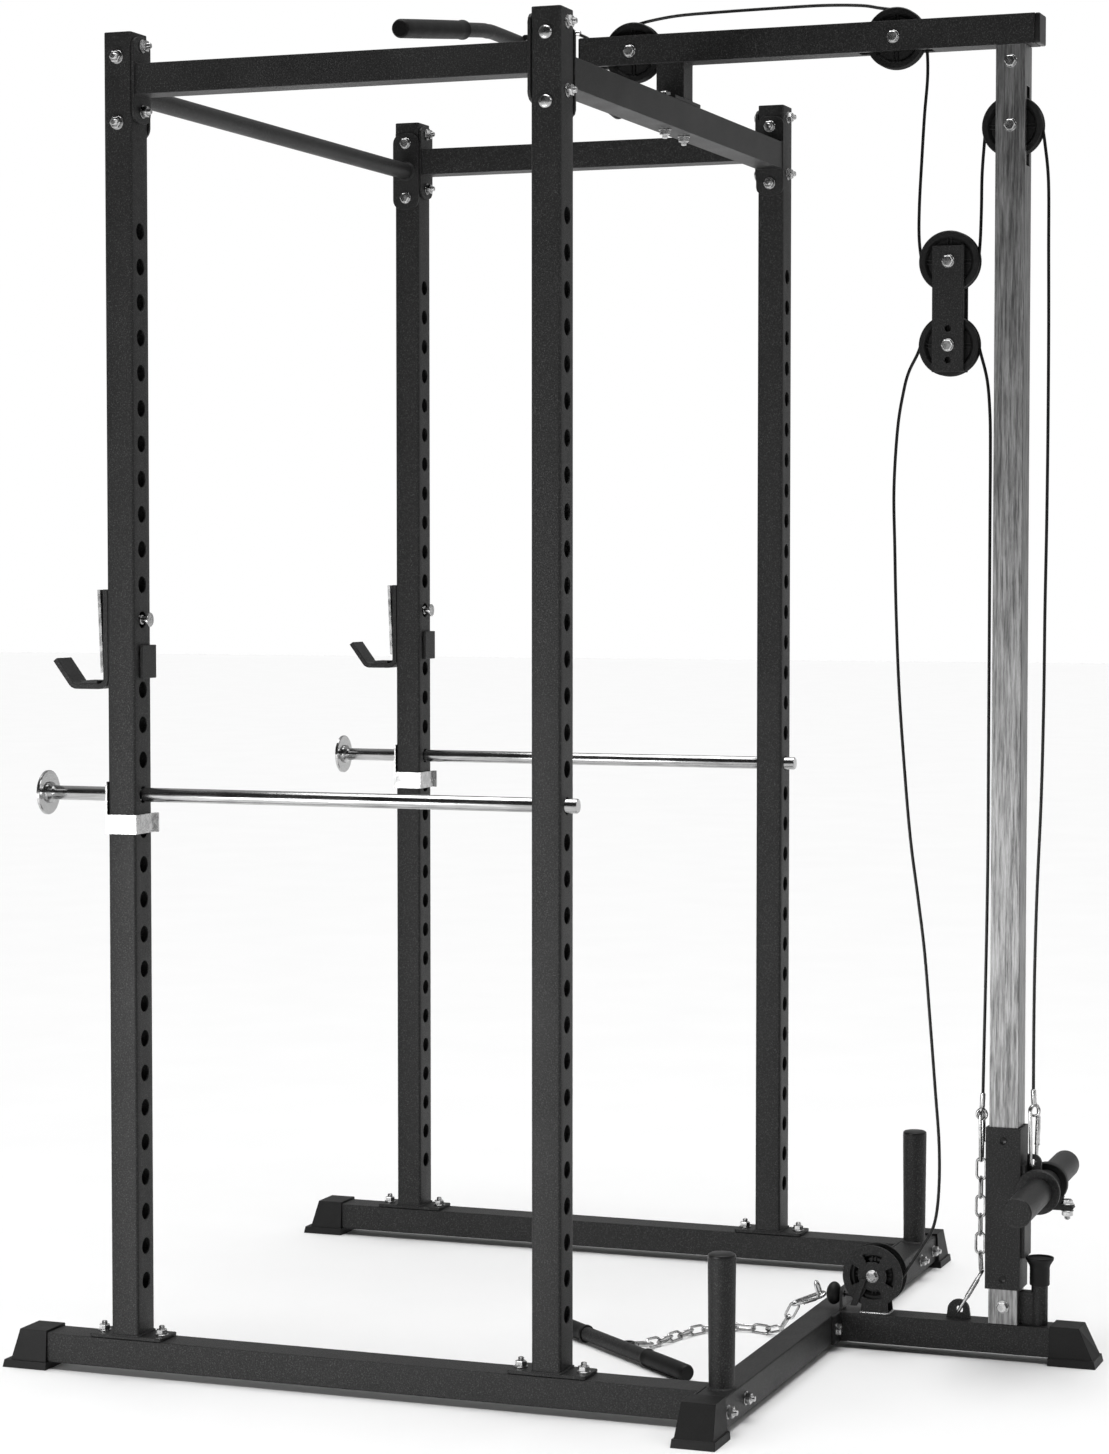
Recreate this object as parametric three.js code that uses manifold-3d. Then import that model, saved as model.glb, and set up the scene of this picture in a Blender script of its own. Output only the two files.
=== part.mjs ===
// Power cage with a lat pulldown and low row tower: a bolted frame of 50 and 60 mm tube,
// two J-hooks, two sliding safety bars, and a plate-loaded carriage that a pair of cables lifts.
//
// Millimetres, +Z up. X runs across the cage, -Y is the front that a barbell enters from, and the
// tower stands at +Y. The group is shifted so that the origin is on the floor, under the middle of
// the frame's outline. Every place below is given in cage coordinates, with Y = 0 at the cage centre.

import * as THREE from 'three';
import { mergeVertices } from 'three/addons/utils/BufferGeometryUtils.js';
import { ConvexGeometry } from 'three/addons/geometries/ConvexGeometry.js';
import Module from 'manifold-3d';

const wasm = await Module();
wasm.setup();

// ---------------------------------------------------------------- driving dimensions

const TUBE = 50;                 // outside of the square tubes
const HALF = TUBE / 2;
const POST_WIDTH = 60;           // width along X of the uprights and the side base tubes, which are TUBE deep
const POST_HALF = POST_WIDTH / 2;
const WALL = 2.5;                // tube wall
const GAP = 0.3;                 // between pieces that touch
const PLATE = 5.5;               // welded plates and flanges

const CAGE_WIDTH = 1220;         // upright to upright, centre to centre, along X
const CAGE_DEPTH = 748;          // the same along Y
const POST_X = CAGE_WIDTH / 2;
const POST_Y = CAGE_DEPTH / 2;
const UPRIGHT_TOP = 2221;

const BASE_UNDERSIDE = 12;       // the rubber feet lift the base tubes off the floor
const BASE_TOP = BASE_UNDERSIDE + TUBE;
const BASE_MIDDLE = BASE_UNDERSIDE + HALF;
const REAR_BASE_Y = 657;

const HOLE_PITCH = 58;
const HOLE_COUNT = 31;
const TOP_HOLE_Z = 1898;
const HOLE_RADIUS = 14;
const HOOK_HOLE = 11;            // holes counted down from the top one
const SAFETY_HOLE = 16;
const holeHeight = (index) => TOP_HOLE_Z - index * HOLE_PITCH;

const FLANGE_BOLT = 53.5;        // from a beam's centre line to each of its two flange bolts
const BOLT_RADIUS = 5;

const SIDE_BEAM_Z = 2144;
const CROSS_BEAM_Z = 2125;
const PULL_UP_RADIUS = 16;

const BOOM_BOTTOM = 2218;
const BOOM_TOP = BOOM_BOTTOM + TUBE;
const BOOM_FRONT = 208;
const BOOM_REAR = 1012;
const COLUMN_Y = 972;

const PULLEY_RADIUS = 52;
const PULLEY_GROOVE = 43.5;
const PULLEY_WIDTH = 20;
const PULLEY_BORE = 5.6;
const CABLE_RADIUS = 2.75;

const FRONT_PULLEY = { y: 300, z: 2241 };
const REAR_PULLEY = { y: 770, z: 2241 };
const COLUMN_PULLEY = { y: COLUMN_Y, z: 2084 };
const BLOCK_UPPER_PULLEY = { y: 865, z: 1862 };
const BLOCK_LOWER_PULLEY = { y: 865, z: 1721 };
const LOW_PULLEY = { y: 742, z: 126.5 };

const FOOT_LENGTH = 80;
const FRONT_END = -520;          // where the front feet begin on the side tubes
const SIDE_END = 679;            // where the rear feet begin on the rear tube
const TAIL_END = 1053;           // where the tail foot begins on the tail tube

const PEG = { y: 1033, z: 296, radius: 24.5, half: 240, turn: 2.3 };
const CARRIAGE = { bottom: 123, top: 399, half: 30 };
const BUMPER_TOP = 177.7;

// ---------------------------------------------------------------- materials

const material = (color, roughness, metalness) =>
  new THREE.MeshStandardMaterial({ color, roughness, metalness });

const blackPaint = material(0x1b1b1c, 0.6, 0.3);
const zinc = material(0xb9bbbd, 0.3, 0.9);
const galvanised = material(0x9b9c9c, 0.45, 0.8);
const rubber = material(0x161616, 0.85, 0.0);
const nylon = material(0x121213, 0.5, 0.0);

// ---------------------------------------------------------------- solids

// A closed geometry as a manifold solid.
function solid(geometry) {
  const bare = geometry.clone();
  bare.deleteAttribute('normal');
  bare.deleteAttribute('uv');
  const merged = mergeVertices(bare, 1e-4);
  return new wasm.Manifold(new wasm.Mesh({
    numProp: 3,
    vertProperties: new Float32Array(merged.attributes.position.array),
    triVerts: new Uint32Array(merged.index.array),
  }));
}

const root = new THREE.Group();

// Adds a solid to the model as one named mesh.
function add(name, body, look) {
  const { vertProperties, triVerts } = body.getMesh();
  const geometry = new THREE.BufferGeometry();
  geometry.setAttribute('position', new THREE.BufferAttribute(vertProperties, 3));
  geometry.setIndex(new THREE.BufferAttribute(triVerts, 1));
  geometry.computeVertexNormals();
  const mesh = new THREE.Mesh(geometry, look);
  mesh.name = name;
  root.add(mesh);
}

const union = (bodies) => bodies.reduce((sum, body) => sum.add(body));

const box = (x0, x1, y0, y1, z0, z1) => solid(
  new THREE.BoxGeometry(x1 - x0, y1 - y0, z1 - z0)
    .translate((x0 + x1) / 2, (y0 + y1) / 2, (z0 + z1) / 2),
);

// The three directions that a flat shape can be pushed along. Its own x and y become the other two
// axes of the cage, in X, Y, Z order.
const ALONG = {
  x: new THREE.Matrix4().makeBasis(
    new THREE.Vector3(0, 1, 0), new THREE.Vector3(0, 0, 1), new THREE.Vector3(1, 0, 0)),
  y: new THREE.Matrix4().makeBasis(
    new THREE.Vector3(1, 0, 0), new THREE.Vector3(0, 0, 1), new THREE.Vector3(0, -1, 0)),
  z: new THREE.Matrix4(),
};

// A flat shape pushed along an axis from one place to another.
function extrude(shape, axis, from, to, curveSegments = 8) {
  const geometry = new THREE.ExtrudeGeometry(shape, { depth: to - from, bevelEnabled: false, curveSegments });
  const start = axis === 'y' ? -to : from;
  return solid(geometry.translate(0, 0, start).applyMatrix4(ALONG[axis]));
}

// A round bar along an axis; a and b are its centre in the other two axes, in X, Y, Z order.
function rod(axis, radius, from, to, a, b, sides = 16) {
  const shape = new THREE.Shape();
  for (let i = 0; i < sides; i += 1) {
    const angle = (2 * Math.PI * (i + 0.5)) / sides;
    const place = [a + radius * Math.cos(angle), b + radius * Math.sin(angle)];
    if (i === 0) shape.moveTo(...place);
    else shape.lineTo(...place);
  }
  return extrude(shape, axis, from, to);
}

// A bar that clears a round hole of the given radius: its flats, not its corners, lie on the circle.
const clearHole = (axis, radius, from, to, a, b, sides = 6) =>
  rod(axis, radius / Math.cos(Math.PI / sides), from, to, a, b, sides);

const rectangle = (x0, x1, y0, y1) => new THREE.Shape([
  new THREE.Vector2(x0, y0), new THREE.Vector2(x1, y0), new THREE.Vector2(x1, y1), new THREE.Vector2(x0, y1),
]);

// A flat plate with half-round ends, standing upright.
function roundEndedShape(centreX, centreY, halfWidth, halfHeight) {
  const shape = new THREE.Shape();
  const straight = halfHeight - halfWidth * 0.6;
  shape.moveTo(centreX - halfWidth, centreY - straight);
  shape.quadraticCurveTo(centreX - halfWidth, centreY - halfHeight, centreX, centreY - halfHeight);
  shape.quadraticCurveTo(centreX + halfWidth, centreY - halfHeight, centreX + halfWidth, centreY - straight);
  shape.lineTo(centreX + halfWidth, centreY + straight);
  shape.quadraticCurveTo(centreX + halfWidth, centreY + halfHeight, centreX, centreY + halfHeight);
  shape.quadraticCurveTo(centreX - halfWidth, centreY + halfHeight, centreX - halfWidth, centreY + straight);
  return shape;
}

// A tube along an axis, open at both ends. Its centre and its outside sizes are given in the other
// two axes, in X, Y, Z order.
function boxTube(axis, from, to, a, b, sizeA = TUBE, sizeB = sizeA) {
  const section = (inset) => rectangle(
    a - sizeA / 2 + inset, a + sizeA / 2 - inset, b - sizeB / 2 + inset, b + sizeB / 2 - inset);
  return extrude(section(0), axis, from, to).subtract(extrude(section(WALL), axis, from - 1, to + 1));
}

// ---------------------------------------------------------------- base

for (const [side, x] of [['near', POST_X], ['far', -POST_X]]) {
  const rear = REAR_BASE_Y - HALF - GAP;
  const tube = boxTube('y', FRONT_END - 40, rear - PLATE, x, BASE_MIDDLE, POST_WIDTH, TUBE);
  const flange = box(x - 65, x + 65, rear - PLATE, rear, BASE_UNDERSIDE, BASE_TOP);
  add(`side_base_${side}`, tube.add(flange), blackPaint);
}

add('rear_base', boxTube('x', -SIDE_END - 40, SIDE_END + 40, REAR_BASE_Y, BASE_MIDDLE), blackPaint);

// The tail tube carries the column. Its front flange rises into a round-topped ear that the row
// cable runs through, and a half-round lug on its top anchors the other end of that cable.
const CABLE_EAR_Z = 89;
{
  const front = REAR_BASE_Y + HALF + GAP;
  const tube = boxTube('y', front + PLATE, TAIL_END + 40, 0, BASE_MIDDLE);
  const flange = box(-62, 62, front, front + PLATE, BASE_UNDERSIDE, BASE_TOP);
  const ear = box(-13, 13, front, front + PLATE, BASE_TOP - 1, CABLE_EAR_Z)
    .add(rod('y', 13, front, front + PLATE, 0, CABLE_EAR_Z));
  const cableHole = clearHole('y', 6, front - 1, front + PLATE + 1, 0, CABLE_EAR_Z, 8);
  const lugShape = new THREE.Shape();
  lugShape.moveTo(869, BASE_TOP - 1);
  lugShape.lineTo(911, BASE_TOP - 1);
  lugShape.lineTo(909, 76);
  lugShape.absarc(890, 76, 19, 0, Math.PI);
  const lug = extrude(lugShape, 'x', -4, 4)
    .subtract(clearHole('x', 6, -5, 5, 892, 78, 8));
  add('tail_base', union([tube, flange, ear, lug]).subtract(cableHole), blackPaint);
}

// Rubber feet: a sloped cap over the tube's end on a flat flange. They are built with the tube's
// direction along +Y, starting at 0, and turned into place. The cap's end slopes out by the run.
function foot(name, x, y, turn, tubeWidth, run) {
  const half = tubeWidth / 2;
  const hull = (points) => solid(new ConvexGeometry(points.map((place) => new THREE.Vector3(...place))));
  const loop = (wide, y0, y1, z) => [[-wide, y0, z], [wide, y0, z], [wide, y1, z], [-wide, y1, z]];
  const cap = hull([...loop(half + 7, 0, 50 + run, 12), ...loop(half + 3, 0, 50, BASE_TOP + 4)]);
  const flange = hull([...loop(half + 11, -2, FOOT_LENGTH, 0), ...loop(half + 10, -2, FOOT_LENGTH - 3, 13)]);
  const socket = box(-half - GAP, half + GAP, -5, 40 + GAP, BASE_UNDERSIDE - GAP, BASE_TOP + GAP);
  const body = cap.add(flange).subtract(socket);
  add(name, body.rotate([0, 0, turn]).translate([x, y, 0]), rubber);
}

foot('foot_front_near', POST_X, FRONT_END, 180, POST_WIDTH, 16);
foot('foot_front_far', -POST_X, FRONT_END, 180, POST_WIDTH, 16);
foot('foot_rear_near', SIDE_END, REAR_BASE_Y, -90, TUBE, 25);
foot('foot_rear_far', -SIDE_END, REAR_BASE_Y, 90, TUBE, 25);
foot('foot_tail', 0, TAIL_END, 0, TUBE, 25);

// Posts on the rear tube that spare plates are stored on, with rounded plastic tops.
for (const [side, x] of [['near', POST_X], ['far', -POST_X]]) {
  const profile = [[0, 0], [20.5, 0], [22.5, 208], [20.5, 212], [14, 214], [0, 214]]
    .map((place) => new THREE.Vector2(...place));
  const post = solid(new THREE.LatheGeometry(profile, 16).rotateX(Math.PI / 2));
  add(`storage_post_${side}`, post.translate([x, REAR_BASE_Y, BASE_TOP + GAP]), blackPaint);
}

// ---------------------------------------------------------------- uprights

const UPRIGHTS = {
  upright_front_near: [POST_X, -POST_Y],
  upright_rear_near: [POST_X, POST_Y],
  upright_front_far: [-POST_X, -POST_Y],
  upright_rear_far: [-POST_X, POST_Y],
};

for (const [name, [x, y]] of Object.entries(UPRIGHTS)) {
  const plateTop = BASE_TOP + GAP + PLATE;
  const tube = boxTube('z', plateTop - 1, UPRIGHT_TOP, x, y, POST_WIDTH, TUBE);
  const plate = box(x - POST_HALF, x + POST_HALF, y - 67, y + 67, BASE_TOP + GAP, plateTop);
  const holes = [];
  for (let i = 0; i < HOLE_COUNT; i += 1) {
    holes.push(clearHole('y', HOLE_RADIUS, y - HALF - 1, y + HALF + 1, x, holeHeight(i)));
  }
  add(name, tube.add(plate).subtract(union(holes)), blackPaint);
}

// ---------------------------------------------------------------- top frame

for (const [side, x] of [['near', POST_X], ['far', -POST_X]]) {
  const end = POST_Y - HALF - GAP;
  const flanges = [-end, end - PLATE].map((y) =>
    extrude(roundEndedShape(x, SIDE_BEAM_Z, POST_HALF, 71), 'y', y, y + PLATE, 4));
  const tube = boxTube('y', PLATE - end, end - PLATE, x, SIDE_BEAM_Z);
  const drain = rod('y', 10, -end - 1, end + 1, x, SIDE_BEAM_Z, 8);
  add(`side_beam_${side}`, union([tube, ...flanges]).subtract(drain), blackPaint);
}

const INNER_FACE = POST_X - POST_HALF - GAP;
const BEAM_PLATE_HALF_WIDTH = 27;
const BEAM_PLATE_HALF_HEIGHT = 75;

function beamPlates(y) {
  const shape = roundEndedShape(y, CROSS_BEAM_Z, BEAM_PLATE_HALF_WIDTH, BEAM_PLATE_HALF_HEIGHT);
  return [-INNER_FACE, INNER_FACE - PLATE].map((x) => extrude(shape, 'x', x, x + PLATE, 4));
}

{
  const tube = boxTube('x', PLATE - INNER_FACE, INNER_FACE - PLATE, POST_Y, CROSS_BEAM_Z);
  const drain = rod('x', 10, -INNER_FACE - 1, INNER_FACE + 1, POST_Y, CROSS_BEAM_Z, 8);
  add('rear_cross_beam', union([tube, ...beamPlates(POST_Y)]).subtract(drain), blackPaint);
}

{
  const reach = INNER_FACE - PLATE + 0.5;
  const bar = rod('x', PULL_UP_RADIUS, -reach, reach, -POST_Y, CROSS_BEAM_Z);
  const bore = rod('x', PULL_UP_RADIUS - WALL, -INNER_FACE - 1, INNER_FACE + 1, -POST_Y, CROSS_BEAM_Z);
  add('pull_up_bar', union([bar, ...beamPlates(-POST_Y)]).subtract(bore), blackPaint);
}

// ---------------------------------------------------------------- tower

// The boom stands on a short post on the rear cross beam, with its rear end on the column. Each of
// its two pulleys sits in a slot through its top and bottom walls.
const SLOT_HALF_WIDTH = 13;
const SLOT_REACH = PULLEY_RADIUS + 12;
const FRONT_SLOT_START = BOOM_FRONT + 4; // the lat cable dips into this slot on its way to the pulley

{
  const middle = BOOM_BOTTOM + HALF;
  const seat = CROSS_BEAM_Z + HALF + GAP;
  const tube = boxTube('y', BOOM_FRONT, BOOM_REAR, 0, middle);
  const post = boxTube('z', seat + PLATE - 1, BOOM_BOTTOM + 1, 0, POST_Y);
  const flange = box(-70, 70, POST_Y - HALF, POST_Y + HALF, seat, seat + PLATE);
  const plug = boxTube('z', BOOM_BOTTOM - 58, BOOM_BOTTOM + 1, 0, COLUMN_Y, 44);
  const slots = [
    [FRONT_SLOT_START, FRONT_PULLEY.y + SLOT_REACH],
    [REAR_PULLEY.y - SLOT_REACH, REAR_PULLEY.y + SLOT_REACH],
  ].map(([from, to]) => box(-SLOT_HALF_WIDTH, SLOT_HALF_WIDTH, from, to, BOOM_BOTTOM - 1, BOOM_TOP + 1));
  const boltHoles = [FRONT_PULLEY, REAR_PULLEY].map(({ y, z }) =>
    clearHole('x', BOLT_RADIUS + 0.4, -HALF - 1, HALF + 1, y, z, 8));
  add('boom', union([tube, post, flange, plug]).subtract(union([...slots, ...boltHoles])), blackPaint);
}

{
  const { z } = COLUMN_PULLEY;
  const tube = boxTube('z', BASE_TOP + GAP, BOOM_BOTTOM - GAP, 0, COLUMN_Y);
  const reach = HALF + 1;
  const slot = box(-SLOT_HALF_WIDTH, SLOT_HALF_WIDTH, COLUMN_Y - reach, COLUMN_Y + reach, z - 66, z + 66);
  const boltHole = clearHole('x', BOLT_RADIUS + 0.4, -HALF - 1, HALF + 1, COLUMN_Y, z, 8);
  add('lat_column', tube.subtract(slot).subtract(boltHole), galvanised);
}

// A post behind the column with a flared rubber bumper, which the carriage comes down onto.
const BUMPER_Y = 1030;

{
  const post = rod('z', 14, BASE_TOP + GAP, 160, 0, BUMPER_Y);
  const web = box(-10, 10, COLUMN_Y + HALF + GAP, BUMPER_Y, BASE_TOP + GAP, 118);
  add('bumper_post', post.add(web), blackPaint);

  const profile = [
    [14.3, 131], [17, 131], [17, 163], [24, BUMPER_TOP],
    [0, BUMPER_TOP], [0, 160.3], [14.3, 160.3], [14.3, 131],
  ].map((place) => new THREE.Vector2(...place));
  const pad = solid(new THREE.LatheGeometry(profile, 16).rotateX(Math.PI / 2));
  add('bumper_pad', pad.translate([0, BUMPER_Y, 0]), rubber);
}

// ---------------------------------------------------------------- pulleys and their bolts

// A grooved nylon pulley about the X axis.
function pulley(name, { y, z }, radius = PULLEY_RADIUS, groove = PULLEY_GROOVE) {
  const half = PULLEY_WIDTH / 2;
  const profile = [
    [PULLEY_BORE, -half], [14, -half], [14, 3 - half], [radius - 9, 3 - half], [radius - 9, -half],
    [radius, -half], [groove, -1.5], [groove, 1.5], [radius, half],
    [radius - 9, half], [radius - 9, half - 3], [14, half - 3], [14, half], [PULLEY_BORE, half],
    [PULLEY_BORE, -half],
  ].map((place) => new THREE.Vector2(...place));
  const wheel = solid(new THREE.LatheGeometry(profile, 20).rotateZ(-Math.PI / 2));
  add(name, wheel.translate([0, y, z]), nylon);
}

// A hexagon-headed bolt along X with its nut, through whatever reaches that far each side of X = 0.
function pulleyBolt(name, { y, z }, grip) {
  const shank = rod('x', BOLT_RADIUS, -grip - 14, grip + 1, y, z, 10);
  const head = rod('x', 9.5, grip + GAP, grip + 7, y, z, 6);
  const nut = rod('x', 9.5, -grip - 9, -grip - GAP, y, z, 6);
  add(name, union([shank, head, nut]), zinc);
}

const BLOCK_GRIP = 16.5;
const LOW_GRIP = 18;
const LOW_PULLEY_RADIUS = 45;
const LOW_PULLEY_GROOVE = 37;

pulley('front_pulley', FRONT_PULLEY);
pulley('rear_pulley', REAR_PULLEY);
pulley('column_pulley', COLUMN_PULLEY);
pulley('block_upper_pulley', BLOCK_UPPER_PULLEY);
pulley('block_lower_pulley', BLOCK_LOWER_PULLEY);
pulley('low_pulley', LOW_PULLEY, LOW_PULLEY_RADIUS, LOW_PULLEY_GROOVE);

pulleyBolt('front_pulley_bolt', FRONT_PULLEY, HALF);
pulleyBolt('rear_pulley_bolt', REAR_PULLEY, HALF);
pulleyBolt('column_pulley_bolt', COLUMN_PULLEY, HALF);
pulleyBolt('block_upper_bolt', BLOCK_UPPER_PULLEY, BLOCK_GRIP);
pulleyBolt('block_lower_bolt', BLOCK_LOWER_PULLEY, BLOCK_GRIP);
pulleyBolt('low_pulley_bolt', LOW_PULLEY, LOW_GRIP);

// The floating block's two side plates, with spare holes below and above the lower pulley.
for (const [side, inner, outer] of [['near', 12.5, BLOCK_GRIP], ['far', -BLOCK_GRIP, -12.5]]) {
  const { y } = BLOCK_UPPER_PULLEY;
  const plate = box(inner, outer, y - 27.5, y + 27.5, 1676, 1888);
  const holes = [BLOCK_UPPER_PULLEY.z, BLOCK_LOWER_PULLEY.z, 1749, 1696].map((z) =>
    clearHole('x', BOLT_RADIUS + 0.4, inner - 1, outer + 1, y, z, 8));
  add(`block_plate_${side}`, plate.subtract(union(holes)), blackPaint);
}

// The low pulley runs between two guard discs on feet that are welded to the tail tube. Each disc
// has four arc slots. A flat arm lies across the near disc and ends in front of its foot.
{
  const { y, z } = LOW_PULLEY;
  const foot = BASE_TOP + GAP;
  const arcSlot = (x, middle) => {
    const shape = new THREE.Shape();
    shape.absarc(y, z, 40, middle - 0.42, middle + 0.42, false);
    shape.absarc(y, z, 25, middle + 0.42, middle - 0.42, true);
    return extrude(shape, 'x', x - 1, x + 5, 2);
  };
  const boltHole = clearHole('x', BOLT_RADIUS + 0.4, -LOW_GRIP - 1, LOW_GRIP + 1, y, z, 8);
  const plates = [-LOW_GRIP, LOW_GRIP - 4].map((x) => {
    const slots = [0, 1, 2, 3].map((quarter) => arcSlot(x, (quarter * Math.PI) / 2));
    const disc = rod('x', 53, x, x + 4, y, z, 24).subtract(union(slots));
    return disc.add(box(x, x + 4, y - 21, y + 28, foot, z - 44));
  });
  const sole = box(-LOW_GRIP, LOW_GRIP, y - 21, y + 28, foot, foot + 3);
  const armShape = new THREE.Shape([[y - 38, z - 52], [y - 26, z - 52], [y - 9, z - 4], [y - 20, z - 4]]
    .map((place) => new THREE.Vector2(...place)));
  const arm = extrude(armShape, 'x', LOW_GRIP - 0.5, LOW_GRIP + PLATE);
  add('low_pulley_bracket', union([...plates, sole, arm]).subtract(boltHole), blackPaint);
}

// ---------------------------------------------------------------- weight carriage

// The peg is not quite square to the column: its near end points a little to the rear.
const turnedAboutPeg = (body) =>
  body.translate([0, -PEG.y, 0]).rotate([0, 0, PEG.turn]).translate([0, PEG.y, 0]);

{
  const { bottom, top, half } = CARRIAGE;
  const inner = HALF + 1.5;
  const sleeve = box(-half, half, COLUMN_Y - half, COLUMN_Y + half, bottom, top)
    .subtract(box(-inner, inner, COLUMN_Y - inner, COLUMN_Y + inner, bottom - 1, top + 1));
  const rear = COLUMN_Y + half;
  const backPlate = box(-25, 25, rear - 0.5, rear + 7, BUMPER_TOP + GAP, PEG.z + 40);
  const pegSeat = box(-30, 30, rear + 6, rear + 10, PEG.z - 26, PEG.z + 26);
  const lugShape = new THREE.Shape();
  lugShape.moveTo(rear + 6, PEG.z + 28);
  lugShape.lineTo(rear + 30, PEG.z + 28);
  lugShape.lineTo(rear + 30, 338);
  lugShape.absarc(rear + 16, 338, 14, 0, Math.PI / 2);
  lugShape.lineTo(rear + 6, 352);
  const lug = extrude(lugShape, 'x', -4, 4).subtract(clearHole('x', 5.5, -5, 5, rear + 16, 339, 8));
  const pegRoom = turnedAboutPeg(rod('x', PEG.radius + GAP, -60, 60, PEG.y, PEG.z, 20));
  add('carriage', union([sleeve, backPlate, pegSeat, lug]).subtract(pegRoom), blackPaint);
}

// The peg that weight plates slide onto, with a welded stop collar each side of the carriage. The
// far collar has an ear for a clamp bolt.
{
  const { y, z, radius, half } = PEG;
  const seat = COLUMN_Y + CARRIAGE.half + 10 + GAP;
  const bar = rod('x', radius, -half, half, y, z, 20);
  const saddle = box(-26, 26, seat, y, z - 20, z + 20);
  const nearCollar = rod('x', 38, 39, 48, y, z, 20);
  const farCollar = rod('x', 36, -54, -39, y, z, 20);
  const ear = box(-54, -39, y, y + 46, z - 44, z - 34).add(box(-54, -39, y, y + 24, z - 44, z - 20));
  const bolt = clearHole('z', 5, z - 60, z - 30, -46.5, y + 36, 8);
  const turned = turnedAboutPeg(union([bar, nearCollar, farCollar, ear.subtract(bolt)]));
  add('weight_peg', turned.add(saddle), blackPaint);
}

// ---------------------------------------------------------------- J-hooks

// Bent flat bar with a cradle in front, a side plate that wraps the upright on its -X side, a plate
// behind it, and a pin through one hole. Both hooks are the same hand.
const HOOK_BAR = 9;

for (const [side, x] of [['near', POST_X], ['far', -POST_X]]) {
  const front = -POST_Y - HALF - 1.5;
  const rear = -POST_Y + HALF + GAP;
  const left = x - POST_HALF - GAP;
  const pinZ = holeHeight(HOOK_HOLE);
  const floorZ = pinZ - 115;
  const bend = front - 57;
  const tip = front - 97;
  const profile = new THREE.Shape();
  profile.moveTo(front, floorZ + 165);
  profile.lineTo(front, floorZ);
  profile.lineTo(bend, floorZ);
  profile.lineTo(tip, floorZ + 54);
  profile.lineTo(tip + HOOK_BAR * 0.8, floorZ + 54 + HOOK_BAR * 0.6);
  profile.lineTo(bend + HOOK_BAR * 0.5, floorZ + HOOK_BAR);
  profile.lineTo(front - HOOK_BAR, floorZ + HOOK_BAR);
  profile.lineTo(front - HOOK_BAR, floorZ + 165);
  const strap = extrude(profile, 'x', x - HALF, x + HALF);
  const sidePlate = box(left - 7, left, front - HOOK_BAR, rear + 6, pinZ - 97, pinZ - 42);
  const tie = box(left - 7, x - HALF + 1, front - HOOK_BAR, front, pinZ - 97, pinZ - 42);
  const rearPlate = box(left - 7, x + 12, rear, rear + 6, pinZ - 97, pinZ - 42);
  const pin = union([
    rod('y', 8, front - 1, rear, x, pinZ, 12),
    rod('y', 6, rear - 1, rear + 12, x, pinZ, 12),
    rod('y', 12, rear + 11, rear + 15, x, pinZ, 12),
  ]);
  add(`j_hook_${side}`, union([strap, sidePlate, tie, rearPlate, pin]), blackPaint);
}

// ---------------------------------------------------------------- safety bars and their locks

for (const [side, x] of [['near', POST_X], ['far', -POST_X]]) {
  const z = holeHeight(SAFETY_HOLE);
  const bar = rod('y', 12, -525, 418, x, z, 12);
  const disc = rod('y', 37, -530, -524, x, z, 20);
  const hub = rod('y', 18, -524.5, -517, x, z, 12);
  add(`safety_bar_${side}`, union([bar, disc, hub]), zinc);

  const front = -POST_Y - HALF - GAP;
  const rear = -POST_Y + HALF + GAP;
  const right = x + POST_HALF + GAP;
  const left = x - POST_HALF;
  const face = box(left, right + 3, front - 3, front, z - 64, z + 22)
    .subtract(clearHole('y', 13, front - 4, front + 1, x, z, 10));
  const sideBand = box(right, right + 3, front - 3, rear + 3, z - 64, z - 32);
  const rearBand = box(left - 5, right + 3, rear, rear + 3, z - 64, z - 32);
  const lip = box(left - 8, left - 5, rear, rear + 9, z - 64, z - 32);
  add(`safety_lock_${side}`, union([face, sideBand, rearBand, lip]), zinc);
}

// ---------------------------------------------------------------- bars and grips

// A round bar between two points, with optional overrun at both ends.
function strut(radius, start, end, sides = 12) {
  const from = new THREE.Vector3(...start);
  const to = new THREE.Vector3(...end);
  const geometry = new THREE.CylinderGeometry(radius, radius, from.distanceTo(to), sides);
  const direction = to.clone().sub(from).normalize();
  const turn = new THREE.Quaternion().setFromUnitVectors(new THREE.Vector3(0, 1, 0), direction);
  geometry.applyQuaternion(turn).translate(...from.add(to).divideScalar(2).toArray());
  return solid(geometry);
}

const LAT_BAR = { y: 85, z: 2270, straight: 150, half: 540, drop: 54 };
const BAR_RADIUS = 12.5;
const GRIP_RADIUS = 15.5;
const GRIP_LENGTH = 277;

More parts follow.
